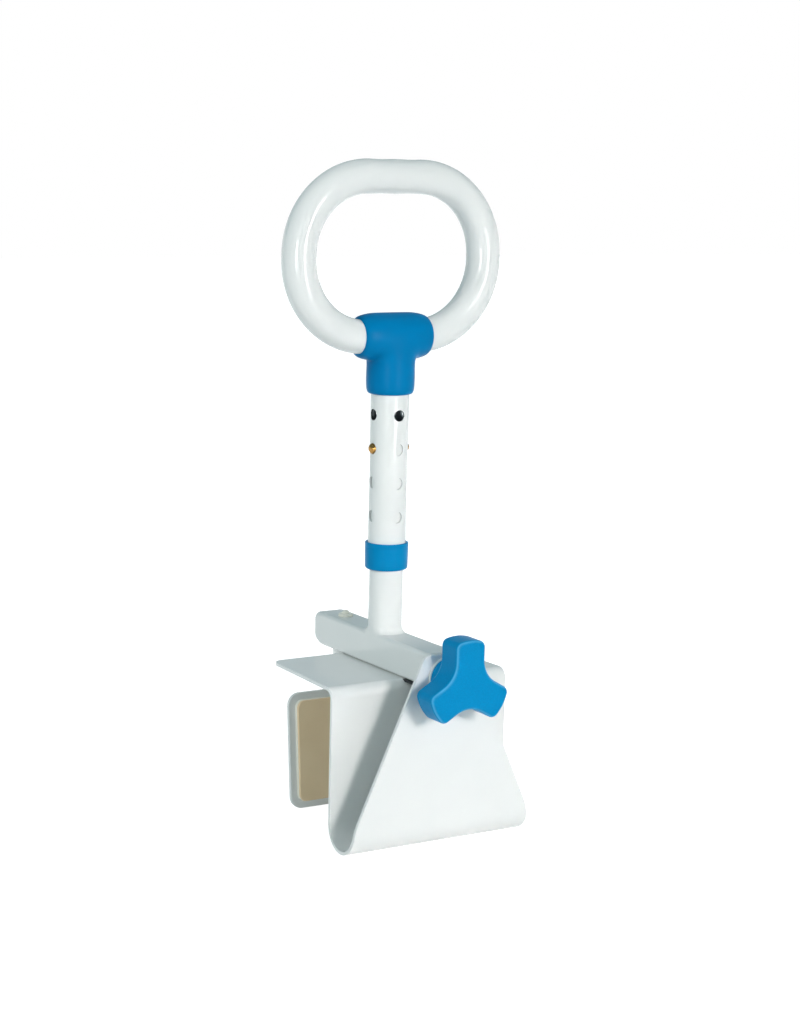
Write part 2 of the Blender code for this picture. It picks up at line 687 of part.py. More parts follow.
def make_jaw_weld(name, body, side):
    """Fillet weld down one side of the stem, on the plate's rear face."""
    bm = bmesh.new()
    start = JAW_HEIGHT / 2 - 4
    end = STEM_LENGTH + JAW_CENTRE_Z - 6
    foot = STEM_D / 2 + JAW_WELD
    depth = -GAP - 1.6 * JAW_WELD
    section = ((3.5, -GAP), (foot, -GAP), (STEM_D / 2 - 0.4, depth), (3.5, depth))
    rings = []
    for along in (start, -end):
        rings.append([bm.verts.new((side * x, along, z)) for x, z in section])
    join_rings(bm, *rings)
    for ring in rings:
        bm.faces.new(ring)
    weld = make_object(name, in_jaw(bm), WELD, body)
    clear = prism(circle(STEM_D / 2 + GAP, 24, (0, STEM_Y)), "Z", -2 * STEM_LENGTH, BEAM_BOTTOM)
    boolean(weld, cutter(name + "_stem", clear))
    return weld


def make_jaw_pad(body):
    half = JAW_HALF_WIDTH - PAD_MARGIN
    outline = rounded_box(half, JAW_HEIGHT / 2 - PAD_MARGIN, PAD_CORNER_R, 5)
    start = JAW_PLATE_T + GAP
    return make_object("jaw_pad", in_jaw(prism(outline, "Z", start, start + JAW_PAD_T)), TAN, body)


def make_beam_hole_plug(body):
    """Plug over the hole that the jaw's bolt is reached through."""
    seat = BEAM_TOP + GAP
    shank = ACCESS_D / 2 - GAP
    head = PLUG_HEAD_D / 2
    dome = PLUG_DOME_D / 2
    top = seat + PLUG_HEAD_T
    profile = [(0, seat - PLUG_SHANK), (shank, seat - PLUG_SHANK), (shank, seat), (head, seat)]
    profile += [(head, seat + 0.5), (head - 0.7, top), (dome, top)]
    for angle in (25, 50, 75):
        profile.append((dome * cos(radians(angle)), top + PLUG_DOME_T * sin(radians(angle))))
    profile.append((0, top + PLUG_DOME_T))
    return make_object("beam_hole_plug", turned(profile, "Z", 24, (0, STEM_Y)), CREAM, body)


# Knob and screw

def lobe_outline():
    """Half of one lobe, from the middle of the hollow beside it to the middle of its tip, lobe along +X."""
    hollow = radians(60)
    reach = (LOBE_ROOT_R + LOBE_HALF_WIDTH) / sin(hollow)
    root = (reach * cos(hollow), reach * sin(hollow))
    corner_y = LOBE_HALF_WIDTH - LOBE_CORNER_R
    corner_x = sqrt((KNOB_REACH - LOBE_CORNER_R) ** 2 - corner_y ** 2)
    tip = degrees(atan2(corner_y, corner_x))
    points = arc(root, LOBE_ROOT_R, 240, 270, 4)
    points += arc((corner_x, corner_y), LOBE_CORNER_R, 90, tip, 5)
    points += arc((0, 0), KNOB_REACH, tip, 0, 3)[1:]
    return points


def knob_outline(centre):
    half = lobe_outline()
    lobe = [(x, -y) for x, y in half[1:]][:-1] + half[::-1]
    points = []
    for i in range(3):
        turn = Matrix.Rotation(radians(90 + 120 * i), 2)
        points += [tuple(turn @ Vector(point) + Vector(centre)) for point in lobe]
    return points


def make_knob_body(body):
    """Three-lobed knob with a round hub behind it, and a hexagonal seat inside for the screw's head."""
    outline = knob_outline((0, SCREW_Z))
    knob = make_object("knob_body", prism(outline, "Y", KNOB_FRONT_Y, LOBE_REAR_Y), BLUE, body, 40.0)
    bevel(knob, KNOB_EDGE_R, 3, 60)
    hub = [(0, HUB_REAR_Y), (HUB_D / 2 - 0.8, HUB_REAR_Y), (HUB_D / 2, HUB_REAR_Y - 0.8),
           (HUB_D / 2, LOBE_REAR_Y - 4), (0, LOBE_REAR_Y - 4)]
    boolean(knob, cutter("knob_hub", turned(hub, "Y", 36, (0, SCREW_Z))), "UNION")
    shank = prism(circle(SCREW_R + GAP, 20, (0, SCREW_Z)), "Y", head_span()[0] + 1, HUB_REAR_Y + 5)
    boolean(knob, cutter("knob_bore", shank))
    front, rear = head_span()
    seat = prism(hexagon(SCREW_HEAD_FLATS + 2 * GAP, (0, SCREW_Z)), "Y", front - GAP, rear + GAP)
    boolean(knob, cutter("knob_seat", seat))
    return knob


def head_span():
    front = KNOB_FRONT_Y + HEAD_COVER
    return front, front + SCREW_HEAD_T


def make_clamp_screw(body):
    """Screw with a right-hand thread: rows of twelve points that climb one pitch per turn."""
    columns = 12
    bm = bmesh.new()

    def point(radius, column, along):
        a = -2 * pi * column / columns
        return bm.verts.new((radius * cos(a), along, SCREW_Z + radius * sin(a)))

    def ring(radius, along, flats=False):
        flat = cos(radians(30)) if flats else 1.0
        return [point(radius * (flat if i % 2 else 1.0), i, along) for i in range(columns)]

    head_front, head_rear = head_span()
    head_r = SCREW_HEAD_FLATS / sqrt(3)
    groove_front, groove_rear = groove_span()
    shank = SCREW_R - 0.15
    groove = SCREW_R - GROOVE_DEPTH
    root = SCREW_R - THREAD_DEPTH
    thread_start = groove_rear + 1.5
    sections = [(head_r, head_front, True), (head_r, head_rear, True), (shank, head_rear, False),
                (shank, groove_front - GAP / 2, False), (groove, groove_front - GAP / 2, False),
                (groove, groove_rear + GAP / 2, False), (shank, groove_rear + GAP / 2, False),
                (shank, thread_start - 0.5, False), (root, thread_start, False)]
    rings = [ring(*section) for section in sections]
    bm.faces.new(rings[0])
    for lower, upper in zip(rings, rings[1:]):
        join_rings(bm, lower, upper)
    # Two rows a pitch, one at the root and one at the crest, each shifted by the angle of its column
    low = thread_start + 0.5
    rows = 2 * int((SCREW_TIP_Y - 2.0 - low) / THREAD_PITCH)
    grid = []
    for j in range(rows + 1):
        crest = j % 2 == 1 and 1 < j < rows - 1
        radius = SCREW_R if crest else root
        grid.append([point(radius, i, low + THREAD_PITCH * (j / 2 + i / columns)) for i in range(columns)])
    for j in range(rows):
        for i in range(columns - 1):
            bm.faces.new((grid[j][i], grid[j][i + 1], grid[j + 1][i + 1], grid[j + 1][i]))
    for j in range(rows - 2):
        bm.faces.new((grid[j][-1], grid[j + 2][0], grid[j + 3][0], grid[j + 1][-1]))
    tip = ring(root, low + THREAD_PITCH * (rows / 2 + 1) + 0.5)
    end = ring(root - 1.0, low + THREAD_PITCH * (rows / 2 + 1) + 1.5)
    start_ring = rings[-1]
    for i in range(columns - 1):
        bm.faces.new((start_ring[i], start_ring[i + 1], grid[0][i + 1], grid[0][i]))
        bm.faces.new((grid[rows][i], grid[rows][i + 1], tip[i + 1], tip[i]))
    bm.faces.new((start_ring[-1], start_ring[0], grid[0][0], grid[1][0], grid[2][0], grid[0][-1]))
    bm.faces.new((tip[0], tip[-1], grid[rows][-1], grid[rows - 1][-1], grid[rows - 2][-1], grid[rows][0]))
    join_rings(bm, tip, end)
    bm.faces.new(end)
    return make_object("clamp_screw", bm, STEEL, body, 30.0)


# Handle: outer tube, collar, grip ring and the joint between them

def make_collar(body):
    """Ring that closes the gap at the lower end of the outer tube and guides the post."""
    bottom = TUBE_BOTTOM - GAP - COLLAR_LIP
    top = bottom + COLLAR_HEIGHT
    outer = COLLAR_D / 2
    low = outer - COLLAR_TAPER
    edge = COLLAR_EDGE_R
    bore = TUBE_D / 2 + GAP
    profile = [(POST_D / 2 + GAP, bottom), (low - edge, bottom)]
    profile += arc((low - edge, bottom + edge), edge, -60, 0, 3)
    profile += [(outer, top - COLLAR_RIM_R), (outer - COLLAR_RIM_R, top), (bore, top)]
    profile += [(bore, TUBE_BOTTOM - GAP), (POST_D / 2 + GAP, TUBE_BOTTOM - GAP)]
    return make_object("collar", turned(profile, "Z", 36), BLUE, body)


def make_outer_tube(body):
    """Tube over the post, with four columns of holes, coped at the top round the ring's ends."""
    outer = TUBE_D / 2
    top = TEE_Z - COPE_DROP
    profile = [(TUBE_BORE_R, TUBE_BOTTOM), (outer, TUBE_BOTTOM), (outer, top), (TUBE_BORE_R, top)]
    tube = make_object("outer_tube", turned(profile, "Z", turn=180 / ROUND_STEPS), WHITE, body)
    for row in range(HOLE_ROWS):
        z = TUBE_BOTTOM + FIRST_HOLE + row * HOLE_PITCH
        for axis in ("X", "Y"):
            hole = prism(circle(HOLE_R, SMALL_STEPS, (0, z)), axis, -TUBE_D, TUBE_D)
            boolean(tube, cutter(f"tube_hole_{axis}{row}", hole))
    cope = prism(circle(RING_D / 2 + GAP, ROUND_STEPS, (0, TEE_Z)), "X", -TUBE_D, TUBE_D)
    boolean(tube, cutter("tube_cope", cope))
    return tube


def ring_path(step):
    """Points and directions along the ring's centre line, from the right end round to the left one."""
    half = RING_STRAIGHT / 2
    low = TEE_Z + RING_BEND_R
    high = low + RING_SIDE
    arcs = [((half, low), -90, 0), ((half, high), 0, 90), ((-half, high), 90, 180), ((-half, low), 180, 270)]
    path = [(GAP, TEE_Z)]
    tangents = [(1.0, 0.0)]
    for centre, start, end in arcs:
        steps = round(90 / step)
        path += arc(centre, RING_BEND_R, start, end, steps)
        for i in range(steps + 1):
            a = radians(start + 90 * i / steps)
            tangents.append((-sin(a), cos(a)))
    path.append((-GAP, TEE_Z))
    tangents.append((1.0, 0.0))
    return path, tangents


def make_ring_tube(body):
    """Tube bent into a long round ring, whose two ends meet inside the joint."""
    bm, outer = swept(*ring_path(RING_STEP), RING_D / 2, RING_SIDES)
    inside, inner = swept(*ring_path(2 * RING_STEP), RING_D / 2 - RING_WALL, RING_SIDES // 2)
    copies = {}
    for vert in inside.verts:
        copies[vert] = bm.verts.new(vert.co)
    for face in inside.faces:
        bm.faces.new([copies[v] for v in face.verts])
    for end in (0, -1):
        edge = [copies[v] for v in inner[end]]
        for i in range(RING_SIDES):
            j = (i + 1) % RING_SIDES
            corners = [outer[end][i], outer[end][j], edge[j // 2], edge[i // 2]]
            bm.faces.new(list(dict.fromkeys(corners)))
    inside.free()
    return make_object("ring_tube", bm, WHITE, body)


def make_ring_spigot(body):
    """Bar inside the ring's two ends, which lines them up."""
    radius = RING_D / 2 - RING_WALL - GAP - 0.3
    half = SPIGOT_LENGTH / 2
    edge = 1.0
    profile = [(0, -half), (radius - edge, -half), (radius, edge - half)]
    profile += [(r, -x) for r, x in reversed(profile)]
    return make_object("ring_spigot", turned(profile, "X", SMALL_STEPS, (0, TEE_Z)), STEEL, body)


def seam_span():
    top = TEE_Z - RING_D / 2 + 3.0
    return top - 8.0, top


def make_tee_weld(body):
    """Weld bead round the top of the outer tube, under the ring's ends."""
    bottom, top = seam_span()
    inner = TUBE_D / 2 + GAP
    profile = [(inner, bottom), (inner + SEAM_BEAD / 2, bottom), (inner + SEAM_BEAD, bottom + 2),
               (inner + SEAM_BEAD, top), (inner, top)]
    weld = make_object("tee_weld", turned(profile, "Z", 28), WELD, body)
    clear = prism(circle(RING_D / 2 + GAP, ROUND_STEPS, (0, TEE_Z)), "X", -TUBE_D, TUBE_D)
    boolean(weld, cutter("seam_clear", clear))
    return weld


def octagon(radius):
    """Eight cage points whose smoothed curve has the given radius."""
    cage = radius / (2 / 3 + cos(radians(45)) / 3)
    return [(cage * cos(radians(45 * k)), cage * sin(radians(45 * k))) for k in range(8)]


def make_tee_joint(body):
    """Moulded joint: a smoothed cage of two short arms and a socket, bored out for the tubes."""
    bm = bmesh.new()
    bottom = TEE_Z - TEE_DROP
    crotch = TEE_SOCKET_R * 1.02
    throat = TEE_ARM_R * 0.74

    def arm_loop(x, radius):
        # Points 0 to 7 run from the front over the top to the back and underneath
        return [bm.verts.new((x, -a, TEE_Z + b)) for a, b in octagon(radius)]

    def socket_loop(z, radius):
        # Points 0 to 7 run from the right over the back to the left and the front
        return [bm.verts.new((a, b, z)) for a, b in octagon(radius)]

    cage_arm = octagon(TEE_ARM_R)[0][0]
    cage_socket = octagon(TEE_SOCKET_R)[0][0]
    diagonal = cos(radians(45))
    middle = [bm.verts.new((0, -a, TEE_Z + b)) for a, b in octagon(TEE_ARM_R)[:5]]
    low_z = TEE_Z - cage_arm * diagonal
    front_low = bm.verts.new((0, -cage_socket, low_z))
    back_low = bm.verts.new((0, cage_socket, low_z))
    sides = {}
    for side in (-1, 1):
        upper = [bm.verts.new((side * throat, -a, TEE_Z + b)) for a, b in octagon(TEE_ARM_R)[:5]]
        corner_y = cage_socket * diagonal
        back = bm.verts.new((side * cage_socket * diagonal, corner_y, low_z))
        under = bm.verts.new((side * crotch, 0, TEE_Z - cage_arm))
        front = bm.verts.new((side * cage_socket * diagonal, -corner_y, low_z))
        sides[side] = upper + [back, under, front]
        for k in range(4):
            bm.faces.new((middle[k], middle[k + 1], upper[k + 1], upper[k]))
        bm.faces.new((middle[4], back_low, back, upper[4]))
        bm.faces.new((front_low, middle[0], upper[0], front))
        half = TEE_ARM_HALF_LENGTH
        loops = [sides[side]]
        for x, share in ((half * 0.66, 0.985), (half - 2.5, 0.90), (half, 0.80), (half, 0.5)):
            loops.append(arm_loop(side * x, TEE_ARM_R * share))
        for inner, outer in zip(loops, loops[1:]):
            join_rings(bm, inner, outer)
        close_end(bm, loops[-1], (side * half, 0, TEE_Z))
    right, left = sides[1], sides[-1]
    loops = [[right[6], right[5], back_low, left[5], left[6], left[7], front_low, right[7]]]
    levels = ((bottom + TEE_DROP * 0.42, TEE_SOCKET_R), (bottom + TEE_RIM_R, TEE_SOCKET_R),
              (bottom, TEE_SOCKET_R - TEE_RIM_R * 0.35), (bottom, TEE_SOCKET_R * 0.6))
    for z, radius in levels:
        loops.append(socket_loop(z, radius))
    for upper, lower in zip(loops, loops[1:]):
        join_rings(bm, upper, lower)
    close_end(bm, loops[-1], (0, 0, bottom))
    tee = make_object("tee_joint", bm, BLUE, body, 40.0)
    smooth = tee.modifiers.new("moulded_form", "SUBSURF")
    smooth.levels = 2
    smooth.render_levels = 2
    bore_tee(tee, bottom)
    return tee


def close_end(bm, loop, centre):
    """Close an eight-point loop with four quads round a middle point."""
    middle = bm.verts.new(centre)
    for k in range(0, 8, 2):
        bm.faces.new((middle, loop[k], loop[(k + 1) % 8], loop[(k + 2) % 8]))


def bore_tee(tee, bottom):
    seat = TUBE_D / 2 + GAP
    seam_bottom, seam_top = seam_span()
    relief = seat + SEAM_BEAD + GAP
    top = TEE_Z - COPE_DROP + GAP
    profile = [(0, bottom - 10), (seat, bottom - 10), (seat, seam_bottom - GAP - 1)]
    profile += [(relief, seam_bottom - GAP), (relief, seam_top + GAP)]
    profile += [(seat, seam_top + GAP + 1), (seat, top), (0, top)]
    boolean(tee, cutter("tee_socket", turned(profile, "Z", ROUND_STEPS, turn=180 / ROUND_STEPS)))
    path, tangents = ring_path(RING_STEP)
    reach = sum(1 for x, z in path if 0 < x < TEE_ARM_HALF_LENGTH and z < TEE_Z + RING_BEND_R) + 2
    right = path[1:reach]
    right_way = tangents[1:reach]
    left = [(-x, z) for x, z in reversed(right)]
    left_way = [(x, -z) for x, z in reversed(right_way)]
    bm, rings = swept(left + right, left_way + right_way, RING_D / 2 + GAP, RING_SIDES)
    bm.faces.new(rings[0])
    bm.faces.new(rings[-1])
    boolean(tee, cutter("tee_ring_bore", bm))


def build():
    clear_scene()
    frame = axis_empty("clamp_frame_origin", (0, 0, 0))
    bracket = axis_empty("clamp_slide_axis", (0, FRONT_OUTER_Y, 0), frame)
    knob = axis_empty("knob_axis", (0, HUB_REAR_Y, SCREW_Z), bracket)
    collar = axis_empty("height_slide_axis", (0, 0, TUBE_BOTTOM), frame)
    handle = axis_empty("handle_turn_axis", (0, 0, TUBE_BOTTOM), collar)
    left = axis_empty("button_left_axis", (0, 0, BUTTON_Z), frame)
    right = axis_empty("button_right_axis", (0, 0, BUTTON_Z), frame)

    make_cross_beam(frame)
    make_beam_end_cap(frame)
    make_threaded_block(frame)
    make_inner_post(frame)
    make_post_weld("post_weld_front", frame, -1)
    make_post_weld("post_weld_rear", frame, 1)
    spring_face = make_snap_spring(frame)[1]
    make_button("button_left", left, -1, spring_face)
    make_button("button_right", right, 1, spring_face)
    make_jaw_stem(frame)
    make_stem_insert(frame)
    make_jaw_bolt(frame)
    make_jaw_plate(frame)
    make_jaw_weld("jaw_weld_left", frame, -1)
    make_jaw_weld("jaw_weld_right", frame, 1)
    make_jaw_pad(frame)
    make_beam_hole_plug(frame)

    make_bracket_sheet(bracket)
    make_bracket_pad(bracket)
    make_guide_shoe(bracket)
    make_thrust_washer(bracket)
    make_screw_retainer(bracket)
    make_knob_body(knob)
    make_clamp_screw(knob)

    make_collar(collar)
    make_outer_tube(handle)
    make_ring_tube(handle)
    make_ring_spigot(handle)
    make_tee_weld(handle)
    make_tee_joint(handle)


build()
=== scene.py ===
"""Looks of the bath safety rail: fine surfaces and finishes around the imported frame, with soft studio light.

Sizes are in millimetres and MM turns them into Blender's metres. The frame's origin is on the post's axis at
the tub's rim; X runs along the rim, -Y points to the knob and +Z is up.
"""

import json
from math import atan2, cos, degrees, hypot, pi, radians, sin, sqrt, tan
import bmesh
import bpy
from mathutils import Matrix, Vector
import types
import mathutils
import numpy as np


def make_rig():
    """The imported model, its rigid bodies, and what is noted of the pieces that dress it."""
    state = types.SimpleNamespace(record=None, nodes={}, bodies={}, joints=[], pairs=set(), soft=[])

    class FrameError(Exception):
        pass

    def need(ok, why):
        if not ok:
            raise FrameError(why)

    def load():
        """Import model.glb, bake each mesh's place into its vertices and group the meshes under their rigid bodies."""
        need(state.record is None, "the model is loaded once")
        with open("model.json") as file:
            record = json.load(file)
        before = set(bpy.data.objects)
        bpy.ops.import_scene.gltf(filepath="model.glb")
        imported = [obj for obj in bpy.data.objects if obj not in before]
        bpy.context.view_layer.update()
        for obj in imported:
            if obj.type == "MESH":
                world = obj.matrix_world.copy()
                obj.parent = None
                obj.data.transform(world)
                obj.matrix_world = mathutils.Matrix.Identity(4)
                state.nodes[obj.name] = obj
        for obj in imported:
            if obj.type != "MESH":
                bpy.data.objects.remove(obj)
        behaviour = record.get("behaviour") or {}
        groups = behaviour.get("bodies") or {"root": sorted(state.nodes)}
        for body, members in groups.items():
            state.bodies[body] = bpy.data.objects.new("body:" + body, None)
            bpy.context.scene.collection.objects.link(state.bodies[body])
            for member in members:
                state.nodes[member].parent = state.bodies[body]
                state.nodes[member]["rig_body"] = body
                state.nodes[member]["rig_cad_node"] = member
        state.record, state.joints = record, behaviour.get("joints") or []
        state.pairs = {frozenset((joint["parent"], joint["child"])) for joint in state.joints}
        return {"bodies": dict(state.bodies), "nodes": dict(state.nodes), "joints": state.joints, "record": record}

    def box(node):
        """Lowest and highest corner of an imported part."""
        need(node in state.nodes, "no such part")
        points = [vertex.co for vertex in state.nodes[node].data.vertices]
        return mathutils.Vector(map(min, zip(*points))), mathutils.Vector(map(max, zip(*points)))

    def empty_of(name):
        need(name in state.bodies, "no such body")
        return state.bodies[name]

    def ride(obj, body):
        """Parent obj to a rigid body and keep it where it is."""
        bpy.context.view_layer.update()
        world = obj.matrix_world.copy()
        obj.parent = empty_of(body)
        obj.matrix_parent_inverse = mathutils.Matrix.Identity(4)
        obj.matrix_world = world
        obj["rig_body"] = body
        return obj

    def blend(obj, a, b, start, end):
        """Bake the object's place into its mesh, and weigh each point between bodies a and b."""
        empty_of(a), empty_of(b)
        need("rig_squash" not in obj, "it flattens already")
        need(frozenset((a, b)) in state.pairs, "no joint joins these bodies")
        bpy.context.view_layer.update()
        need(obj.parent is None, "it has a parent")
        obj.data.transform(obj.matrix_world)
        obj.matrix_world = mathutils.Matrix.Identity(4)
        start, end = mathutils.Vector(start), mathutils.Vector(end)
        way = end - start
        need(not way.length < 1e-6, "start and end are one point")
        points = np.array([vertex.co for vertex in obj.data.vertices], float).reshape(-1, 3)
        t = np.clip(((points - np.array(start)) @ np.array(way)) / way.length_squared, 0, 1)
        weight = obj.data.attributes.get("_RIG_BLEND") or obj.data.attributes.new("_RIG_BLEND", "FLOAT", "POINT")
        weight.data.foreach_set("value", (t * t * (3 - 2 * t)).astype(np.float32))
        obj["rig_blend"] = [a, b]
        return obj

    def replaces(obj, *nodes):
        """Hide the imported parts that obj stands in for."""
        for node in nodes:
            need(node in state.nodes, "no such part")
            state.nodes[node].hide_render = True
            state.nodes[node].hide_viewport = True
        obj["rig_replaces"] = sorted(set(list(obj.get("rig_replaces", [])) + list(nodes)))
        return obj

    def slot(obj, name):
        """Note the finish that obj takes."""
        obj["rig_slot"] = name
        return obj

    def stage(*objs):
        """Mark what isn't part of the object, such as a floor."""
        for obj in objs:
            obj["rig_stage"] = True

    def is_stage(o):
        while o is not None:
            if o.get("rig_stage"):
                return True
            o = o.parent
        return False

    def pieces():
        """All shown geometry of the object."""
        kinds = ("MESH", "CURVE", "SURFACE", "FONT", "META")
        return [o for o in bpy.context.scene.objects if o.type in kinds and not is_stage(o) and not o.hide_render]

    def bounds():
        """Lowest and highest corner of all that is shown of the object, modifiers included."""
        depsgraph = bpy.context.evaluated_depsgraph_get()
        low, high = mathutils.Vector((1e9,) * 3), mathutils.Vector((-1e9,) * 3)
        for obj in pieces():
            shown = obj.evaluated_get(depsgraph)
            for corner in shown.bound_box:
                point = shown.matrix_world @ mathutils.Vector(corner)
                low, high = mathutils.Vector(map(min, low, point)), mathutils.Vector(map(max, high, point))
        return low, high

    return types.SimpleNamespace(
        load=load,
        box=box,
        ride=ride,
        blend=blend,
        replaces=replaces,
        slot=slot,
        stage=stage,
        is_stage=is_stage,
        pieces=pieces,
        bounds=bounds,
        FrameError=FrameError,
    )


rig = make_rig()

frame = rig.load()
cad_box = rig.bounds()

MM = 0.001


def corners(node):
    """A node's lowest and highest corners at rest."""
    return [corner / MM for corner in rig.box(node)]


# Places read from the frame
BEAM_LOW, BEAM_HIGH = corners("cross_beam")
BEAM_BOTTOM, BEAM_TOP = BEAM_LOW.z, BEAM_HIGH.z
POST_HIGH = corners("inner_post")[1]
TUBE_LOW, TUBE_HIGH = corners("outer_tube")
BUTTON_Z = sum(corner.z for corner in corners("button_left")) / 2
RING_LOW = corners("ring_tube")[0]
TEE_LOW = corners("tee_joint")[0]
COLLAR_LOW, COLLAR_HIGH = corners("collar")
SHEET_LOW, SHEET_HIGH = corners("bracket_sheet")
WASHER_LOW, WASHER_HIGH = corners("thrust_washer")
KNOB_LOW, KNOB_HIGH = corners("knob_body")
CAP_HIGH = corners("beam_end_cap")[1]
PLUG_LOW, PLUG_HIGH = corners("beam_hole_plug")

# Driving sizes that the frame's boxes don't give
GAP = 0.3
SEAM = 0.06  # gap left between two fine surfaces that touch
CAP_SEAM = 0.02  # the cap's, which the photo doesn't show
MOULD_FIT = 0.12  # gap between a moulded piece and the tube in it
PAST = 5.0  # how far a cutter reaches past what it cuts
ACROSS = 20.0  # how far a cutter through the tubes reaches from their axis
SHEET_T = 2.5
BEND_INNER_R = 5.5
POCKET_INNER_R = 15.9
FLANGE_CORNER_R = 8.0
FLANGE_TAPER = 3.5
FRONT_TOP_HALF_WIDTH = 18.4
FRONT_TOP_CORNER_R = 8.0
FRONT_SIDE_R = 50.0
SHEET_EDGE_R = 0.8
SCREW_R = 5.0
SCREW_BORE_R = 5.2
SCREW_HEAD_H = 6.0
BEAM_CORNER_R = 3.0
BEAM_WALL = 1.6
BEAM_EDGE = 0.4  # how far the front edge is drawn in, over a run of BEAM_EDGE_RUN
BEAM_EDGE_RUN = 0.5
ACCESS_HOLE_R = 5.2  # hole under the plug, for the jaw's bolt
BOLT_HOLE_R = 3.3
CAP_HEAD = 21.0
CAP_TOP_R = 9.0
CAP_PLAN_R = 7.5
CAP_END_CORNER_R = 5.5
CAP_BOTTOM_DEPTH = 16.0
CAP_BOTTOM_RISE = 12.0
PLUG_SHANK_R = 4.9
PLUG_DOME_R = 3.0
PLUG_DOME_T = 2.6
POST_R = 12.7
POST_WALL = 2.0
POST_EDGE = 0.5
TUBE_R = 14.3
HOLE_R = 4.25
HOLE_PITCH = 25.4
HOLE_ROWS = 4
BUTTON_ROW = 2
BUTTON_R = 4.0
BUTTON_DOME = 2.9
BUTTON_EDGE = 0.3
SPRING_T = 0.8
SPRING_BEND_R = 3.2
SPRING_EDGE_R = 0.12
SPRING_END = 2.0  # straight stretch of a leg below its button
WELD_TOE = 4.2
WELD_WAVES = ((0.015, 31, 0.0), (0.012, 7, 1.0))  # share of the toe, waves round the post, start
COLLAR_TAPER = 0.35
COLLAR_LINE = 3.6  # faint line round the collar, below its top
LINE_HALF_WIDTH = 0.35
LINE_DEPTH = 0.16
COLLAR_BORE_R = 12.95
RING_TUBE_R = 12.7
RING_BEND_R = 57.0
RING_STRAIGHT = 44.6
RING_SIDE = 3.0
RING_NECK = 0.35  # how much thinner the top bar is between its middle and the bends
RING_NECK_END = 24.0  # where it has its full radius again, from the middle
TEE_ARM_R = 17.7
TEE_ARM_HALF_LENGTH = 29.2
TEE_SOCKET_R = 18.2
TEE_RIM_R = 4.0
TEE_CAGE_DROP = 0.66  # how far the cage reaches below the smoothed socket
TEE_BORE_END = 8.0  # how far below the ring's axis the socket's bore ends
KNOB_DEPTH = 22.4
KNOB_REACH = 33.6
LOBE_HALF_WIDTH = 12.2
LOBE_CORNER_R = 5.0
LOBE_ROOT_R = 20.0
KNOB_EDGE_R = 3.0
KNOB_HIGHLIGHT_DEPTHS = (0.15, 1.9)  # painted highlight along the front edge's rounding, as depths behind the face
KNOB_FACE_T = 8.0  # plastic in front of the screw's head
HUB_R = 15.6
HUB_OVERLAP = 4.0
JAW_PLATE_T = 3.0
JAW_HALF_WIDTH = 54.6
JAW_HEIGHT = 90.4
JAW_CORNER_R = 10.0
JAW_TILT = 5.0
JAW_CENTRE_Z = -71.7
JAW_REAR_Y = 49.5
JAW_PAD_T = 4.0
PAD_BASE_T = 2.5
PAD_MARGIN = 5.6
PAD_CORNER_R = 6.0

# Places worked out from them
SCREW_Z = (WASHER_LOW.z + WASHER_HIGH.z) / 2
TEE_Z = RING_LOW.z + RING_TUBE_R
FLANGE_REAR_Y = SHEET_HIGH.y
FRONT_OUTER_Y = SHEET_LOW.y
FRONT_INNER_Y = FRONT_OUTER_Y + SHEET_T
POCKET_Y = FRONT_INNER_Y + POCKET_INNER_R
PLATE_REAR_Y = POCKET_Y + POCKET_INNER_R + SHEET_T
BEND_Y = PLATE_REAR_Y + BEND_INNER_R
SHEET_HALF_WIDTH = SHEET_HIGH.x
SHEET_DROP = -(SHEET_LOW.z + POCKET_INNER_R + SHEET_T)
FLOOR_Z = SHEET_LOW.z

# Lengths along the bracket's flat blank, at mid-thickness, where each stretch ends
FLANGE_END = FLANGE_REAR_Y - BEND_Y
BEND_END = FLANGE_END + (BEND_INNER_R + SHEET_T / 2) * pi / 2
PLATE_END = BEND_END + SHEET_DROP - BEND_INNER_R
POCKET_END = PLATE_END + (POCKET_INNER_R + SHEET_T / 2) * pi
FRONT_END = POCKET_END + SHEET_DROP + BEAM_TOP


# Camera: the photograph's view, fitted to the object's edges

PHOTO_WIDTH = 800
PHOTO_HEIGHT = 1024
FOCAL_PX = 2177.2
AXIS_X = 387.70  # where the optical axis meets the picture
AXIS_Y = 501.44
CAMERA_AZIMUTH = 31.43
CAMERA_PITCH = 9.02
CAMERA_ROLL = 1.30
CAMERA_PLACE = (-840.5, -1375.5, 383.0)
SENSOR = 36.0


def add_object(name, data):
    obj = bpy.data.objects.new(name, data)
    bpy.context.scene.collection.objects.link(obj)
    return obj


def make_camera():
    azimuth, pitch, roll = (radians(v) for v in (CAMERA_AZIMUTH, CAMERA_PITCH, CAMERA_ROLL))
    forward = Vector((sin(azimuth) * cos(pitch), cos(azimuth) * cos(pitch), -sin(pitch)))
    level = Vector((cos(azimuth), -sin(azimuth), 0))
    upright = level.cross(forward)
    right = cos(roll) * level + sin(roll) * upright
    up = cos(roll) * upright - sin(roll) * level
    data = bpy.data.cameras.new("camera")
    camera = add_object("camera", data)
    turn = Matrix((right, up, -forward)).transposed().to_4x4()
    camera.matrix_world = Matrix.Translation(Vector(CAMERA_PLACE) * MM) @ turn
    data.sensor_fit = "VERTICAL"
    data.sensor_height = data.sensor_width = SENSOR
    data.lens = FOCAL_PX * SENSOR / PHOTO_HEIGHT
    data.shift_x = (PHOTO_WIDTH / 2 - AXIS_X) / PHOTO_HEIGHT
    data.shift_y = (AXIS_Y - PHOTO_HEIGHT / 2) / PHOTO_HEIGHT
    data.clip_start = 0.05
    data.clip_end = 20.0
    bpy.context.scene.camera = camera


# Materials

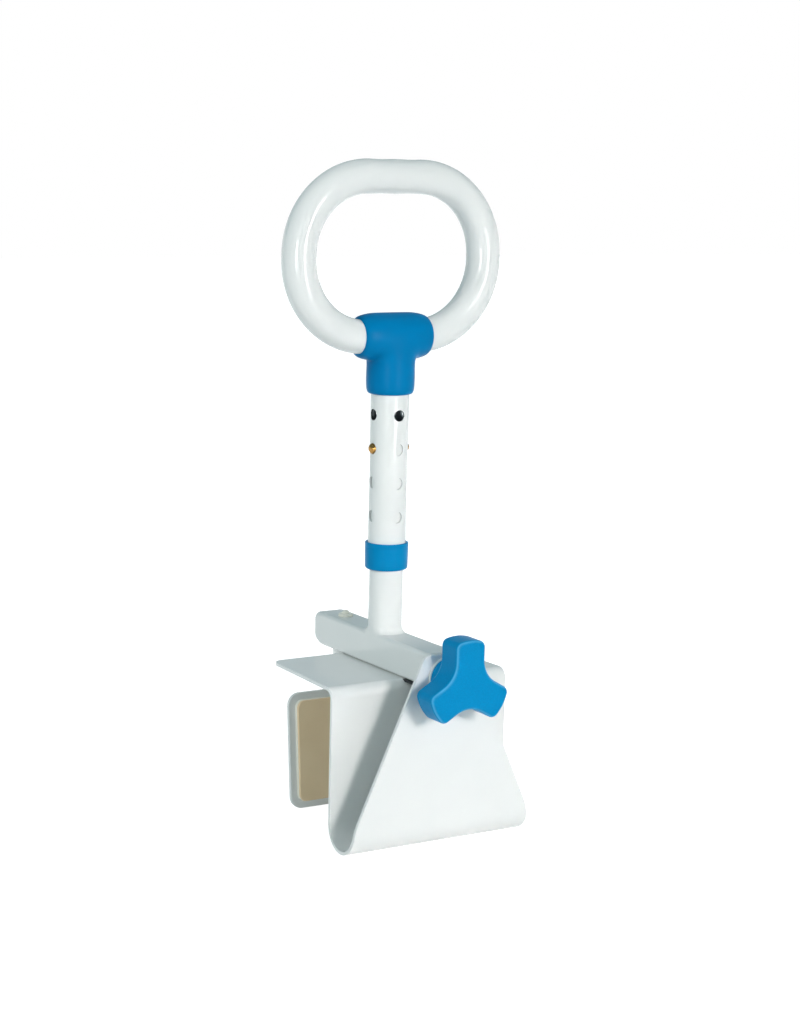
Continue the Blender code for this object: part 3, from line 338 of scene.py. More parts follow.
def new_material(name, colour, roughness, metallic=0.0):
    """A Principled material with its plain values set on the shader's own sockets."""
    mat = bpy.data.materials.new(name)
    mat.use_nodes = True
    mat.diffuse_color = (*colour, 1.0)
    shader = mat.node_tree.nodes["Principled BSDF"]
    shader.inputs["Base Color"].default_value = (*colour, 1.0)
    shader.inputs["Roughness"].default_value = roughness
    shader.inputs["Metallic"].default_value = metallic
    return mat, shader


def noise(mat, scale, detail, stretch=(1.0, 1.0, 1.0)):
    """Noise in the object's own coordinates, its scale in features per metre."""
    nodes, links = mat.node_tree.nodes, mat.node_tree.links
    coordinates = nodes.new("ShaderNodeTexCoord")
    mapping = nodes.new("ShaderNodeMapping")
    mapping.inputs["Scale"].default_value = stretch
    texture = nodes.new("ShaderNodeTexNoise")
    texture.inputs["Scale"].default_value = scale
    texture.inputs["Detail"].default_value = detail
    links.new(coordinates.outputs["Object"], mapping.inputs["Vector"])
    links.new(mapping.outputs["Vector"], texture.inputs["Vector"])
    return texture.outputs["Fac"]


def spread(mat, value, start, end, low_value=0.0, high_value=1.0):
    """Remap a value from one span to another."""
    node = mat.node_tree.nodes.new("ShaderNodeMapRange")
    node.inputs["From Min"].default_value = start
    node.inputs["From Max"].default_value = end
    node.inputs["To Min"].default_value = low_value
    node.inputs["To Max"].default_value = high_value
    mat.node_tree.links.new(value, node.inputs["Value"])
    return node.outputs["Result"]


def mix_colour(mat, factor, first, second):
    """Mix of two colours; either may be a plain colour or a socket."""
    node = mat.node_tree.nodes.new("ShaderNodeMix")
    node.data_type = "RGBA"
    mat.node_tree.links.new(factor, node.inputs["Factor"])
    for socket, colour in (("A", first), ("B", second)):
        target = [s for s in node.inputs if s.name == socket and s.type == "RGBA"][0]
        if hasattr(colour, "links"):
            mat.node_tree.links.new(colour, target)
        else:
            target.default_value = (*colour, 1.0)
    return [s for s in node.outputs if s.type == "RGBA"][0]


def paint(mat, shader, factor, first, second):
    """Base colour that a factor mixes from two."""
    mat.node_tree.links.new(mix_colour(mat, factor, first, second), shader.inputs["Base Color"])


def add_bump(mat, shader, height, distance, strength, below=None):
    """A bump from a height, its distance in metres, on top of an earlier bump if there is one."""
    node = mat.node_tree.nodes.new("ShaderNodeBump")
    node.inputs["Distance"].default_value = distance
    node.inputs["Strength"].default_value = strength
    mat.node_tree.links.new(height, node.inputs["Height"])
    if below is not None:
        mat.node_tree.links.new(below, node.inputs["Normal"])
    mat.node_tree.links.new(node.outputs["Normal"], shader.inputs["Normal"])
    return node.outputs["Normal"]


def combine(owner, operation, first, second):
    node = owner.node_tree.nodes.new("ShaderNodeMath")
    node.operation = operation
    owner.node_tree.links.new(first, node.inputs[0])
    owner.node_tree.links.new(second, node.inputs[1])
    return node.outputs[0]


def coordinate(owner, kind, axis):
    """One axis of a material's or the world's coordinates."""
    nodes, links = owner.node_tree.nodes, owner.node_tree.links
    place = nodes.new("ShaderNodeTexCoord")
    parts = nodes.new("ShaderNodeSeparateXYZ")
    links.new(place.outputs[kind], parts.inputs["Vector"])
    return parts.outputs[axis]


def moulded_bump(mat, shader, grain, depth, strength):
    """A soft swell and a fine grain; grain in features per metre, depth in metres."""
    swell = add_bump(mat, shader, noise(mat, 120, 1), 0.00008, 0.1)
    add_bump(mat, shader, noise(mat, grain, 2), depth, strength, swell)


def powder_coat():
    """Glossy white powder coat: a faint orange peel and a slightly uneven tone."""
    mat, shader = new_material("white_powder_coat", (0.845, 0.853, 0.847), 0.1)
    tone = spread(mat, noise(mat, 28, 2), 0.35, 0.65)
    paint(mat, shader, tone, (0.85, 0.856, 0.842), (0.835, 0.843, 0.829))
    add_bump(mat, shader, noise(mat, 380, 0), 0.00002, 0.3)
    return mat


def weld_coat():
    """The same coat over a weld bead, with the bead's ripples."""
    mat, shader = new_material("painted_weld", (0.845, 0.853, 0.847), 0.22)
    paint(mat, shader, noise(mat, 300, 3), (0.855, 0.861, 0.847), (0.815, 0.825, 0.81))
    peel = add_bump(mat, shader, noise(mat, 380, 2), 0.00008, 0.4)
    add_bump(mat, shader, noise(mat, 1400, 2), 0.00001, 0.3, peel)
    return mat


def moulded(name, first, second, roughness, grain, grain_depth=0.00003, specular=0.5):
    """Moulded plastic or rubber: two close tones, a soft swell and a fine grain."""
    mat, shader = new_material(name, first, roughness)
    shader.inputs["Specular IOR Level"].default_value = specular
    paint(mat, shader, spread(mat, noise(mat, 45, 3), 0.3, 0.7), first, second)
    moulded_bump(mat, shader, grain, grain_depth, 0.4)
    return mat


def knob_finish(start, end):
    """Grained blue plastic, with a painted highlight along the front edge between two places on Y, in millimetres."""
    first, second, painted_highlight = (0.0, 0.272, 0.575), (0.0, 0.238, 0.52), (0.08, 0.42, 0.72)
    mat, shader = new_material("knob_blue", first, 0.34)
    shader.inputs["Specular IOR Level"].default_value = 0.06
    speckle = spread(mat, noise(mat, 900, 3), 0.35, 0.65)
    plain = mix_colour(mat, speckle, first, second)
    y = coordinate(mat, "Object", "Y")
    middle = (start + end) / 2
    rising = spread(mat, y, start * MM, middle * MM)
    falling = spread(mat, y, middle * MM, end * MM, 1.0, 0.0)
    # paler band along the front edge's rounding: a painted highlight, not wear
    paint(mat, shader, combine(mat, "MULTIPLY", rising, falling), plain, painted_highlight)
    moulded_bump(mat, shader, 1500, 0.00006, 0.5)
    return mat


def metal(name, first, second, roughness, stretch, scale):
    """Plated or bare metal with fine drawn marks and slightly darker patches."""
    mat, shader = new_material(name, first, roughness, metallic=1.0)
    paint(mat, shader, spread(mat, noise(mat, 90, 4), 0.35, 0.7), first, second)
    marks = noise(mat, scale, 3, stretch)
    uneven = spread(mat, marks, 0.3, 0.7, roughness * 0.75, roughness * 1.3)
    mat.node_tree.links.new(uneven, shader.inputs["Roughness"])
    add_bump(mat, shader, marks, 0.00003, 0.4)
    return mat


# Both tones, roughness, grain in features per metre, its depth in metres, specular level
MOULDED = {
    "white_plastic": ((0.845, 0.851, 0.837), (0.83, 0.838, 0.823), 0.2, 900, 0.000005),
    "blue_plastic": ((0.0, 0.25, 0.54), (0.0, 0.236, 0.515), 0.3, 1300, 0.00002, 0.06),
    # the T's blue: the same plastic as blue_plastic, made darker as painted shade on the T
    "tee_blue": ((0.0, 0.205, 0.475), (0.0, 0.193, 0.45), 0.3, 1300, 0.00001, 0.04),
    "cream_plastic": ((0.97, 0.93, 0.82), (0.95, 0.9, 0.79), 0.25, 1100),
    "tan_rubber": ((0.97, 0.74, 0.475), (0.93, 0.7, 0.44), 0.72, 1700, 0.00005),
    "grey_rubber": ((0.2, 0.215, 0.21), (0.17, 0.185, 0.18), 0.7, 1700, 0.00012),
    "black_nylon": ((0.018, 0.02, 0.022), (0.028, 0.03, 0.032), 0.42, 1200),
}

# Both tones, roughness, the marks' stretch along X, Y and Z, and their features per metre
METALS = {
    "brass": ((0.46, 0.27, 0.09), (0.33, 0.18, 0.05), 0.17, (1.0, 1.0, 1.0), 700),
    "zinc_steel": ((0.62, 0.63, 0.64), (0.52, 0.53, 0.53), 0.3, (1.0, 0.15, 1.0), 900),
    # the bore's bare steel, far darker than real steel: painted shade inside the hollow tube and its upper holes
    "shaded_bore_steel": ((0.16, 0.19, 0.2), (0.12, 0.15, 0.16), 0.4, (1.0, 1.0, 0.2), 600),
    "spring_steel": ((0.42, 0.42, 0.43), (0.33, 0.33, 0.35), 0.28, (1.0, 1.0, 0.1), 900),
}

FINISHES = {
    "white_powder_coat": powder_coat(),
    "painted_weld": weld_coat(),
    "knob_blue": knob_finish(*(KNOB_LOW.y + depth for depth in KNOB_HIGHLIGHT_DEPTHS)),
    **{name: moulded(name, *values) for name, values in MOULDED.items()},
    **{name: metal(name, *values) for name, values in METALS.items()},
}

# Record's slot of each finish that is a variant of another
SLOT_OF = {"tee_blue": "blue_plastic", "knob_blue": "blue_plastic", "shaded_bore_steel": "zinc_steel"}


# Mesh helpers

def arc(centre, radius, start, end, steps):
    """Points on an arc from one angle to another, in degrees, ends included."""
    angles = [radians(start + (end - start) * i / steps) for i in range(steps + 1)]
    return [(centre[0] + radius * cos(a), centre[1] + radius * sin(a)) for a in angles]


def circle(radius, steps, centre=(0.0, 0.0)):
    return arc(centre, radius, 0, 360 - 360 / steps, steps - 1)


def rounded_box(half_x, half_y, radius, steps, centre=(0.0, 0.0)):
    points = []
    for sign_x, sign_y, start in ((1, 1, 0), (-1, 1, 90), (-1, -1, 180), (1, -1, 270)):
        corner = (centre[0] + sign_x * (half_x - radius), centre[1] + sign_y * (half_y - radius))
        points += arc(corner, radius, start, start + 90, steps)
    return points


PLANES = {
    "X": lambda a, b, depth: (depth, a, b),
    "Y": lambda a, b, depth: (a, depth, b),
    "Z": lambda a, b, depth: (a, b, depth),
}


def ribbon(path, thickness):
    """The closed outline of a strip of even thickness along an open path."""
    sides = ([], [])
    for i, (a, b) in enumerate(path):
        before = path[max(i - 1, 0)]
        after = path[min(i + 1, len(path) - 1)]
        length = hypot(after[0] - before[0], after[1] - before[1])
        normal = ((before[1] - after[1]) / length, (after[0] - before[0]) / length)
        for side, offset in zip(sides, (thickness / 2, -thickness / 2)):
            side.append((a + offset * normal[0], b + offset * normal[1]))
    return sides[0] + sides[1][::-1]


def join_rings(bm, lower, upper):
    """Bridge two rings with the same number of points, or a ring and a single point."""
    count = max(len(lower), len(upper))
    if count == 1:
        return
    for i in range(count):
        j = (i + 1) % count
        quad = [lower[i % len(lower)], lower[j % len(lower)], upper[j % len(upper)], upper[i % len(upper)]]
        bm.faces.new(list(dict.fromkeys(quad)))


def loft(bm, rings):
    """Bridge each ring to the next."""
    for first, second in zip(rings, rings[1:]):
        join_rings(bm, first, second)


def close_rings(bm, rings):
    for ring in (rings[0], rings[-1]):
        bm.faces.new(ring)


def prism(outline, axis, start, end):
    """An outline extruded along an axis."""
    bm = bmesh.new()
    place = PLANES[axis]
    bm.faces.new([bm.verts.new(place(a, b, start)) for a, b in outline])
    grown = bmesh.ops.extrude_face_region(bm, geom=list(bm.faces))["geom"]
    shift = Vector(place(0, 0, end - start))
    bmesh.ops.translate(bm, verts=[v for v in grown if isinstance(v, bmesh.types.BMVert)], vec=shift)
    return bm


def turned(profile, axis, steps, centre=(0.0, 0.0)):
    """A closed profile of (radius, distance along the axis) spun round an axis through centre."""
    bm = bmesh.new()
    place = PLANES[axis]
    rings = []
    for radius, along in profile:
        if radius < 1e-6:
            rings.append([bm.verts.new(place(*centre, along))])
        else:
            rings.append([bm.verts.new(place(a, b, along)) for a, b in circle(radius, steps, centre)])
    loft(bm, rings + rings[:1])
    return bm


def soften(profile, radii, steps=5):
    """Round the corners of a closed profile; radii maps a corner's number to its radius."""
    points = []
    for i, corner in enumerate(profile):
        radius = radii.get(i, 0.0)
        if not radius:
            points.append(corner)
            continue
        here = Vector(corner)
        before = (Vector(profile[i - 1]) - here).normalized()
        after = (Vector(profile[(i + 1) % len(profile)]) - here).normalized()
        half = before.angle(after) / 2
        centre = here + (before + after).normalized() * radius / sin(half)
        first = here + before * radius / tan(half)
        last = here + after * radius / tan(half)
        start = atan2(first.y - centre.y, first.x - centre.x)
        sweep = atan2(last.y - centre.y, last.x - centre.x) - start
        sweep = (sweep + pi) % (2 * pi) - pi
        for k in range(steps + 1):
            a = start + sweep * k / steps
            points.append((centre.x + radius * cos(a), centre.y + radius * sin(a)))
    return points


SHOWN = []


def mesh_object(name, bm):
    mesh = bpy.data.meshes.new(name)
    bm.to_mesh(mesh)
    bm.free()
    return add_object(name, mesh)


def piece(name, bm, finish, body, *nodes, sharp=32.0):
    """Turn a bmesh in millimetres into a piece that rides on a body and stands for CAD nodes."""
    bmesh.ops.recalc_face_normals(bm, faces=bm.faces)
    bmesh.ops.transform(bm, verts=bm.verts, matrix=Matrix.Scale(MM, 4))
    obj = mesh_object(name, bm)
    obj.data.shade_smooth()
    obj.data.set_sharp_from_angle(angle=radians(sharp))
    if body:
        SHOWN.append(obj)
        obj.data.materials.append(FINISHES[finish])
        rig.ride(obj, body)
        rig.slot(obj, SLOT_OF.get(finish, finish))
    if nodes:
        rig.replaces(obj, *nodes)
    return obj


def apply_modifiers(obj, sharp=32.0):
    """Keep the evaluated mesh and drop the modifiers."""
    depsgraph = bpy.context.evaluated_depsgraph_get()
    mesh = bpy.data.meshes.new_from_object(obj.evaluated_get(depsgraph))
    obj.modifiers.clear()
    obj.data = mesh
    mesh.shade_smooth()
    mesh.set_sharp_from_angle(angle=radians(sharp))
    return obj


def cut(obj, *cutters, operation="DIFFERENCE", sharp=32.0):
    """Cut bmeshes in millimetres out of a piece, for good."""
    tools = [piece("cutter", bm, None, None) for bm in cutters]
    for tool in tools:
        mod = obj.modifiers.new("cut", "BOOLEAN")
        mod.operation = operation
        mod.solver = "EXACT"
        mod.object = tool
    apply_modifiers(obj, sharp)
    for tool in tools:
        bpy.data.objects.remove(tool, do_unlink=True)
    return obj


def bevel(obj, width, segments, angle=35.0, sharp=32.0):
    """Round the piece's edges for good."""
    mod = obj.modifiers.new("edge_round", "BEVEL")
    mod.width = width * MM
    mod.segments = segments
    mod.limit_method = "ANGLE"
    mod.angle_limit = radians(angle)
    return apply_modifiers(obj, sharp)


# Bracket: a flat blank with rounded edges, bent along its length

def front_half_width(height):
    """Half-width of the front plate at a height above the bottom bend, measured along the sheet."""
    full = SHEET_DROP + BEAM_TOP
    slope = (SHEET_HALF_WIDTH - FRONT_TOP_HALF_WIDTH) / full
    angle = atan2(SHEET_HALF_WIDTH - FRONT_TOP_HALF_WIDTH, full)
    reach = FRONT_SIDE_R * tan(angle / 2)
    if height <= -reach:
        return SHEET_HALF_WIDTH
    if height < reach * cos(angle):
        return SHEET_HALF_WIDTH - FRONT_SIDE_R + sqrt(FRONT_SIDE_R ** 2 - (height + reach) ** 2)
    corner_z = full - FRONT_TOP_CORNER_R
    corner_x = SHEET_HALF_WIDTH - slope * corner_z - FRONT_TOP_CORNER_R / cos(angle)
    if height <= corner_z + FRONT_TOP_CORNER_R * sin(angle):
        return SHEET_HALF_WIDTH - slope * height
    return corner_x + sqrt(max(FRONT_TOP_CORNER_R ** 2 - (height - corner_z) ** 2, 0.0))


def bend_blank(x, along, depth):
    """Where a point of the flat blank ends up; depth is from the sheet's middle, flange's top side up."""
    half = SHEET_T / 2
    if along <= FLANGE_END:
        return x, FLANGE_REAR_Y - along, half + depth
    if along <= BEND_END:
        a = pi / 2 * (1 + (along - FLANGE_END) / (BEND_END - FLANGE_END))
        radius = BEND_INNER_R + half + depth
        return x, BEND_Y + radius * cos(a), -BEND_INNER_R + radius * sin(a)
    if along <= PLATE_END:
        return x, PLATE_REAR_Y - half - depth, -BEND_INNER_R - (along - BEND_END)
    if along <= POCKET_END:
        a = -pi * (along - PLATE_END) / (POCKET_END - PLATE_END)
        radius = POCKET_INNER_R + half - depth
        return x, POCKET_Y + radius * cos(a), -SHEET_DROP + radius * sin(a)
    return x, FRONT_OUTER_Y + half + depth, -SHEET_DROP + (along - POCKET_END)


def side_half_width(along):
    """Half-width at a length along the blank: the flange tapers to the rear, the front plate to the top."""
    share = max(FLANGE_END - max(along, FLANGE_CORNER_R), 0.0) / (FLANGE_END - FLANGE_CORNER_R)
    return front_half_width(along - POCKET_END) - FLANGE_TAPER * share


def blank_outline():
    """Rows across the blank, as (length along the sheet, half-width), closer together in the bends."""
    rear = SHEET_HALF_WIDTH - FLANGE_TAPER - FLANGE_CORNER_R
    beside = 0.6  # a row this near to each bend keeps the flats flat
    rows = []
    for step in range(13):
        a = radians(90 * step / 12)
        rows.append((FLANGE_CORNER_R * (1 - cos(a)), rear + FLANGE_CORNER_R * sin(a)))
    spans = [(FLANGE_CORNER_R + 3, FLANGE_END - beside, 3), (FLANGE_END, BEND_END, 14),
             (BEND_END + beside, PLATE_END - beside, 3), (PLATE_END, POCKET_END, 44),
             (POCKET_END + beside, POCKET_END + 12, 8)]
    for start, stop, steps in spans:
        for step in range(steps + 1):
            along = start + (stop - start) * step / steps
            rows.append((along, side_half_width(along)))
    top = FRONT_END - FRONT_TOP_CORNER_R
    for along in (top - 30, top - 4):
        rows.append((along, side_half_width(along)))
    for step in range(3, 19):
        along = top + FRONT_TOP_CORNER_R * sin(radians(5 * step))
        rows.append((along, side_half_width(along)))
    return rows


def make_bracket_sheet():
    bm = bmesh.new()
    columns = (-1.0, -0.5, 0.0, 0.5, 1.0)
    grids = []
    rows = blank_outline()
    for depth in (SHEET_T / 2, -SHEET_T / 2):
        grids.append([[bm.verts.new((half * c, along, depth)) for c in columns] for along, half in rows])
    for grid in grids:
        for first, second in zip(grid, grid[1:]):
            for k in range(len(columns) - 1):
                bm.faces.new((first[k], first[k + 1], second[k + 1], second[k]))
    rims = []
    for grid in grids:
        left = [row[0] for row in grid]
        right = [row[-1] for row in grid]
        rims.append(left + grid[-1][1:-1] + right[::-1] + grid[0][1:-1][::-1])
    join_rings(bm, *rims)
    edges = [bm.edges.get((vert, rim[i - 1])) for rim in rims for i, vert in enumerate(rim)]
    bmesh.ops.recalc_face_normals(bm, faces=bm.faces)
    bmesh.ops.bevel(bm, geom=edges, offset=SHEET_EDGE_R, segments=4, profile=0.5, affect="EDGES",
                    offset_type="OFFSET", clamp_overlap=True)
    for vert in bm.verts:
        vert.co = bend_blank(*vert.co)
    sheet = piece("bracket_plate", bm, "white_powder_coat", "bracket", "bracket_sheet")
    bore = circle(SCREW_R + GAP, 40, (0, SCREW_Z))
    hole = prism(bore, "Y", FRONT_OUTER_Y - PAST, FRONT_INNER_Y + PAST)
    return cut(sheet, hole)


# Beam, its end and the post

def make_cross_beam():
    centre = (0, (BEAM_TOP + BEAM_BOTTOM) / 2)
    half = (BEAM_TOP - BEAM_BOTTOM) / 2
    outer = rounded_box(half, half, BEAM_CORNER_R, 10, centre)
    inner = rounded_box(half - BEAM_WALL, half - BEAM_WALL, BEAM_CORNER_R - BEAM_WALL, 5, centre)
    bm = bmesh.new()
    stations = (BEAM_LOW.y, BEAM_LOW.y + BEAM_EDGE_RUN, BEAM_HIGH.y - BEAM_EDGE_RUN,
                BEAM_HIGH.y + GAP - CAP_SEAM)
    shells = []
    for outline in (outer, inner):
        rings = []
        for i, y in enumerate(stations):
            scale = 1 - BEAM_EDGE / half if i == 0 and outline is outer else 1.0
            ring = []
            for a, b in outline:
                ring.append(bm.verts.new((a * scale, y, centre[1] + (b - centre[1]) * scale)))
            rings.append(ring)
        loft(bm, rings)
        shells.append(rings)
    for end in (0, -1):
        edges = []
        for rings in shells:
            ring = rings[end]
            edges += [bm.edges.get((ring[i - 1], ring[i])) for i in range(len(ring))]
        bmesh.ops.triangle_fill(bm, edges=edges, use_beauty=True)
    beam = piece("beam", bm, "white_powder_coat", "clamp_frame", "cross_beam")
    plug_y = (PLUG_LOW.y + PLUG_HIGH.y) / 2
    access = prism(circle(ACCESS_HOLE_R, 32, (0, plug_y)), "Z", centre[1], BEAM_TOP + PAST)
    bolt = prism(circle(BOLT_HOLE_R, 24, (0, plug_y)), "Z", BEAM_BOTTOM - PAST, centre[1])
    return cut(beam, access, bolt)


def edge_drop(radius, run):
    """How far a quarter-round edge lies below its flat at a distance from the end."""
    return radius - sqrt(radius ** 2 - max(radius - run, 0.0) ** 2)


def cap_section(run):
    """The cap's outline at a distance from its end, narrowed there, its lower edge in a deep curve."""
    half = BEAM_HIGH.x - edge_drop(CAP_PLAN_R, run)
    top = BEAM_TOP - edge_drop(CAP_TOP_R, run)
    share = max(1 - run / CAP_BOTTOM_DEPTH, 0.0)
    bottom = BEAM_BOTTOM + CAP_BOTTOM_RISE * (1 - sqrt(1 - share ** 2))
    corner = BEAM_CORNER_R + (CAP_END_CORNER_R - BEAM_CORNER_R) * (1 - run / CAP_HEAD) ** 2
    corner = min(corner, 0.9 * half, 0.45 * (top - bottom))  # keeps a flat on each side
    return rounded_box(half, (top - bottom) / 2, corner, 12, (0, (top + bottom) / 2))


def make_end_cap():
    """Moulded end: sections that shrink towards a small rounded nose."""
    steps = 28
    bm = bmesh.new()
    rings = []
    for step in range(steps + 1):
        run = CAP_HEAD * (1 - sin(radians(90 * step / steps)))
        y = CAP_HIGH.y - run
        rings.append([bm.verts.new((x, y, z)) for x, z in cap_section(run)])
    loft(bm, rings)
    close_rings(bm, rings)
    return piece("beam_cap", bm, "white_plastic", "clamp_frame", "beam_end_cap", sharp=50)


def beam_surface(x):
    """Height of the beam's top at a place across it, rounded corners included."""
    over = abs(x) - (BEAM_HIGH.x - BEAM_CORNER_R)
    if over <= 0:
        return BEAM_TOP
    over = min(over, BEAM_CORNER_R)
    return BEAM_TOP - BEAM_CORNER_R + sqrt(BEAM_CORNER_R ** 2 - over ** 2)


def make_inner_post():
    """Post whose foot follows the beam's rounded top; the snap buttons' holes go through it."""
    steps = 96
    bm = bmesh.new()
    rings = []
    inner = POST_R - POST_WALL
    shoulder = 0.3 * POST_EDGE
    rows = ((inner, None), (POST_R, None), (POST_R, POST_HIGH.z - POST_EDGE),
            (POST_R - shoulder, POST_HIGH.z - shoulder), (POST_R - POST_EDGE, POST_HIGH.z),
            (inner, POST_HIGH.z))
    for radius, z in rows:
        ring = []
        for x, y in circle(radius, steps):
            foot = beam_surface(x * POST_R / radius) + SEAM
            ring.append(bm.verts.new((x, y, foot if z is None else z)))
        rings.append(ring)
    loft(bm, rings + rings[:1])
    post = piece("post", bm, "white_powder_coat", "clamp_frame", "inner_post")
    return cut(post, prism(circle(HOLE_R, 32, (0, BUTTON_Z)), "X", -ACROSS, ACROSS))


def make_post_weld():
    """Fillet weld round the post's foot: it runs out on the flat and ends flush with the beam's sides."""
    steps = 180
    levels = 10
    half = BEAM_HIGH.x + SEAM
    root = POST_R + SEAM / 2
    bm = bmesh.new()
    rings = []
    for level in range(levels + 1):
        out = level / levels
        curve = 1 - sqrt(1 - (1 - out) ** 2)
        ring = []
        for i in range(steps):
            a = 2 * pi * i / steps
            ripple = 1 + sum(share * sin(a * waves + start) for share, waves, start in WELD_WAVES)
            radius = root + WELD_TOE * ripple * out
            x = max(-half, min(half, radius * cos(a)))
            foot = beam_surface(x) + SEAM / 2
            top = BEAM_TOP + WELD_TOE * ripple
            ring.append(bm.verts.new((x, radius * sin(a), foot + (top - foot) * curve)))
        rings.append(ring)
    inner = [bm.verts.new((x, y, beam_surface(x) + SEAM / 2)) for x, y in circle(root, steps)]
    loft(bm, [inner, *rings, inner])
    return piece("post_weld", bm, "painted_weld", "clamp_frame", "post_weld_front", "post_weld_rear",
                 sharp=50)


# Buttons and plug

def make_button(name, side):
    """Brass snap button with a full dome and a turned shoulder."""
    start, end = sorted(abs(corner.x) for corner in corners(name))
    shoulder_in, shoulder_run = 0.08, 0.15
    profile = [(0, start), (BUTTON_R - BUTTON_EDGE, start), (BUTTON_R, start + BUTTON_EDGE),
               (BUTTON_R, end - BUTTON_DOME - shoulder_run)]
    for step in range(15):
        a = radians(6 * step)
        profile.append(((BUTTON_R - shoulder_in) * cos(a), end - BUTTON_DOME + BUTTON_DOME * sin(a)))
    profile.append((0, end))
    bm = turned([(r, side * x) for r, x in profile], "X", 48, (0, BUTTON_Z))
    return piece(name + "_dome", bm, "brass", name, name, sharp=40)


def make_snap_spring(name, side, button):
    """Half of the hairpin spring: from the middle of its bend up a leg, which bends in with its button."""
    lowest, highest = corners("snap_spring")
    leg_x = highest.x - SPRING_T / 2
    apex_z = lowest.z + SPRING_BEND_R + SPRING_T / 2
    straight_z = BUTTON_Z - BUTTON_R - SPRING_END
    lean = degrees(atan2(leg_x - SPRING_BEND_R, straight_z - apex_z))
    path = arc((0, apex_z), SPRING_BEND_R, 270 + degrees(SEAM / 2 / SPRING_BEND_R), 360 - lean, 14)
    foot = path[-1]
    steps = 18
    for step in range(1, steps + 1):
        share = step / steps
        path.append((foot[0] + (leg_x - foot[0]) * share, foot[1] + (straight_z - foot[1]) * share))
    path.append((leg_x, highest.z))
    outline = [(side * x, z) for x, z in ribbon(path, SPRING_T)]
    leg = piece(name, prism(outline, "Y", -highest.y, highest.y), None, None)
    bevel(leg, SPRING_EDGE_R, 2)
    leg.data.materials.append(FINISHES["spring_steel"])
    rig.slot(leg, "spring_steel")
    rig.replaces(leg, "snap_spring")
    start, end = (Vector((0, 0, z)) * MM for z in (apex_z, straight_z))
    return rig.blend(leg, "clamp_frame", button, start=start, end=end)


def make_plug():
    """Cream plug over the bolt's hole: a flat head with a small dome on it."""
    y = (PLUG_LOW.y + PLUG_HIGH.y) / 2
    seat = BEAM_TOP + SEAM
    head = (PLUG_HIGH.x - PLUG_LOW.x) / 2
    top = PLUG_HIGH.z - PLUG_DOME_T
    edge = 0.6
    chamfer = 0.4
    foot_in, foot_rise = 0.3, 0.1
    profile = [(0, PLUG_LOW.z), (PLUG_SHANK_R - chamfer, PLUG_LOW.z), (PLUG_SHANK_R, PLUG_LOW.z + edge),
               (PLUG_SHANK_R, seat), (head, seat)]
    profile += arc((head - edge, top - edge), edge, 0, 90, 5)
    profile.append((PLUG_DOME_R + foot_in, top))
    for step in range(10):
        a = radians(10 * step)
        profile.append((PLUG_DOME_R * cos(a), top + foot_rise + (PLUG_DOME_T - foot_rise) * sin(a)))
    bm = turned(profile, "Z", 48, (0, y))
    return piece("plug", bm, "cream_plastic", "clamp_frame", "beam_hole_plug", sharp=40)


# Jaw

def jaw_frame():
    """Matrix of the jaw: local X along the rim, local Y up the plate, local Z out of its front face."""
    tilt = radians(JAW_TILT)
    up = Vector((0, sin(tilt), cos(tilt)))
    front = Vector((0, -cos(tilt), sin(tilt)))
    matrix = Matrix((Vector((1, 0, 0)), up, front)).transposed().to_4x4()
    matrix.translation = Vector((0, JAW_REAR_Y, JAW_CENTRE_Z))
    return matrix


def slab(half_x, half_y, corner, start, end, front_round, back_round):
    """A plate with rounded corners and rounded front and back edges, in the jaw's own frame."""
    bm = bmesh.new()
    rings = []
    edges = ((back_round, -90, start + back_round), (front_round, 0, end - front_round))
    for radius, first, centre in edges:
        for step in range(7):
            a = radians(first + 90 * step / 6)
            inset = radius * (1 - cos(a))
            outline = rounded_box(half_x - inset, half_y - inset, corner - inset, 12)
            rings.append([bm.verts.new((x, y, centre + radius * sin(a))) for x, y in outline])
    loft(bm, rings)
    close_rings(bm, rings)
    bmesh.ops.transform(bm, verts=bm.verts, matrix=jaw_frame())
    return bm


def make_jaw():
    """The jaw's plate and its pad: a cream base with a slightly smaller rubber face on it."""
    plate = slab(JAW_HALF_WIDTH, JAW_HEIGHT / 2, JAW_CORNER_R, 0, JAW_PLATE_T, 0.9, 0.7)
    piece("jaw_backplate", plate, "white_powder_coat", "clamp_frame", "jaw_plate")
    half_x = JAW_HALF_WIDTH - PAD_MARGIN
    half_y = JAW_HEIGHT / 2 - PAD_MARGIN
    base_top = JAW_PLATE_T + SEAM + PAD_BASE_T
    base = slab(half_x, half_y, PAD_CORNER_R, JAW_PLATE_T + SEAM, base_top, 0.5, 0.2)
    piece("jaw_pad_base", base, "cream_plastic", "clamp_frame", "jaw_pad")
    front = JAW_PLATE_T + GAP + JAW_PAD_T
    step = 0.4
    face = slab(half_x - step, half_y - step, PAD_CORNER_R - step, base_top + 0.02, front, 1.0, 0.1)
    piece("jaw_pad_face", face, "tan_rubber", "clamp_frame", "jaw_pad")


# Collar, outer tube, ring and joint

def make_collar():
    """Slightly tapered collar: it hugs the tube's end, and its lip below has a small gap to the post."""
    bottom, top = COLLAR_LOW.z, COLLAR_HIGH.z
    outer = COLLAR_HIGH.x
    bore = TUBE_R + MOULD_FIT
    lip = TUBE_LOW.z - GAP
    line = top - COLLAR_LINE
    at_line = outer - COLLAR_TAPER * COLLAR_LINE / (top - bottom)
    profile = [(COLLAR_BORE_R, bottom), (outer - COLLAR_TAPER, bottom), (at_line, line - LINE_HALF_WIDTH),
               (at_line - LINE_DEPTH, line), (at_line, line + LINE_HALF_WIDTH), (outer, top), (bore, top),
               (bore, lip), (COLLAR_BORE_R, lip)]
    profile = soften(profile, {0: 0.3, 1: 2.0, 2: 0.2, 3: 0.1, 4: 0.2, 5: 0.6, 6: 0.3}, 8)
    return piece("collar_ring", turned(profile, "Z", 96), "blue_plastic", "collar", "collar", sharp=45)


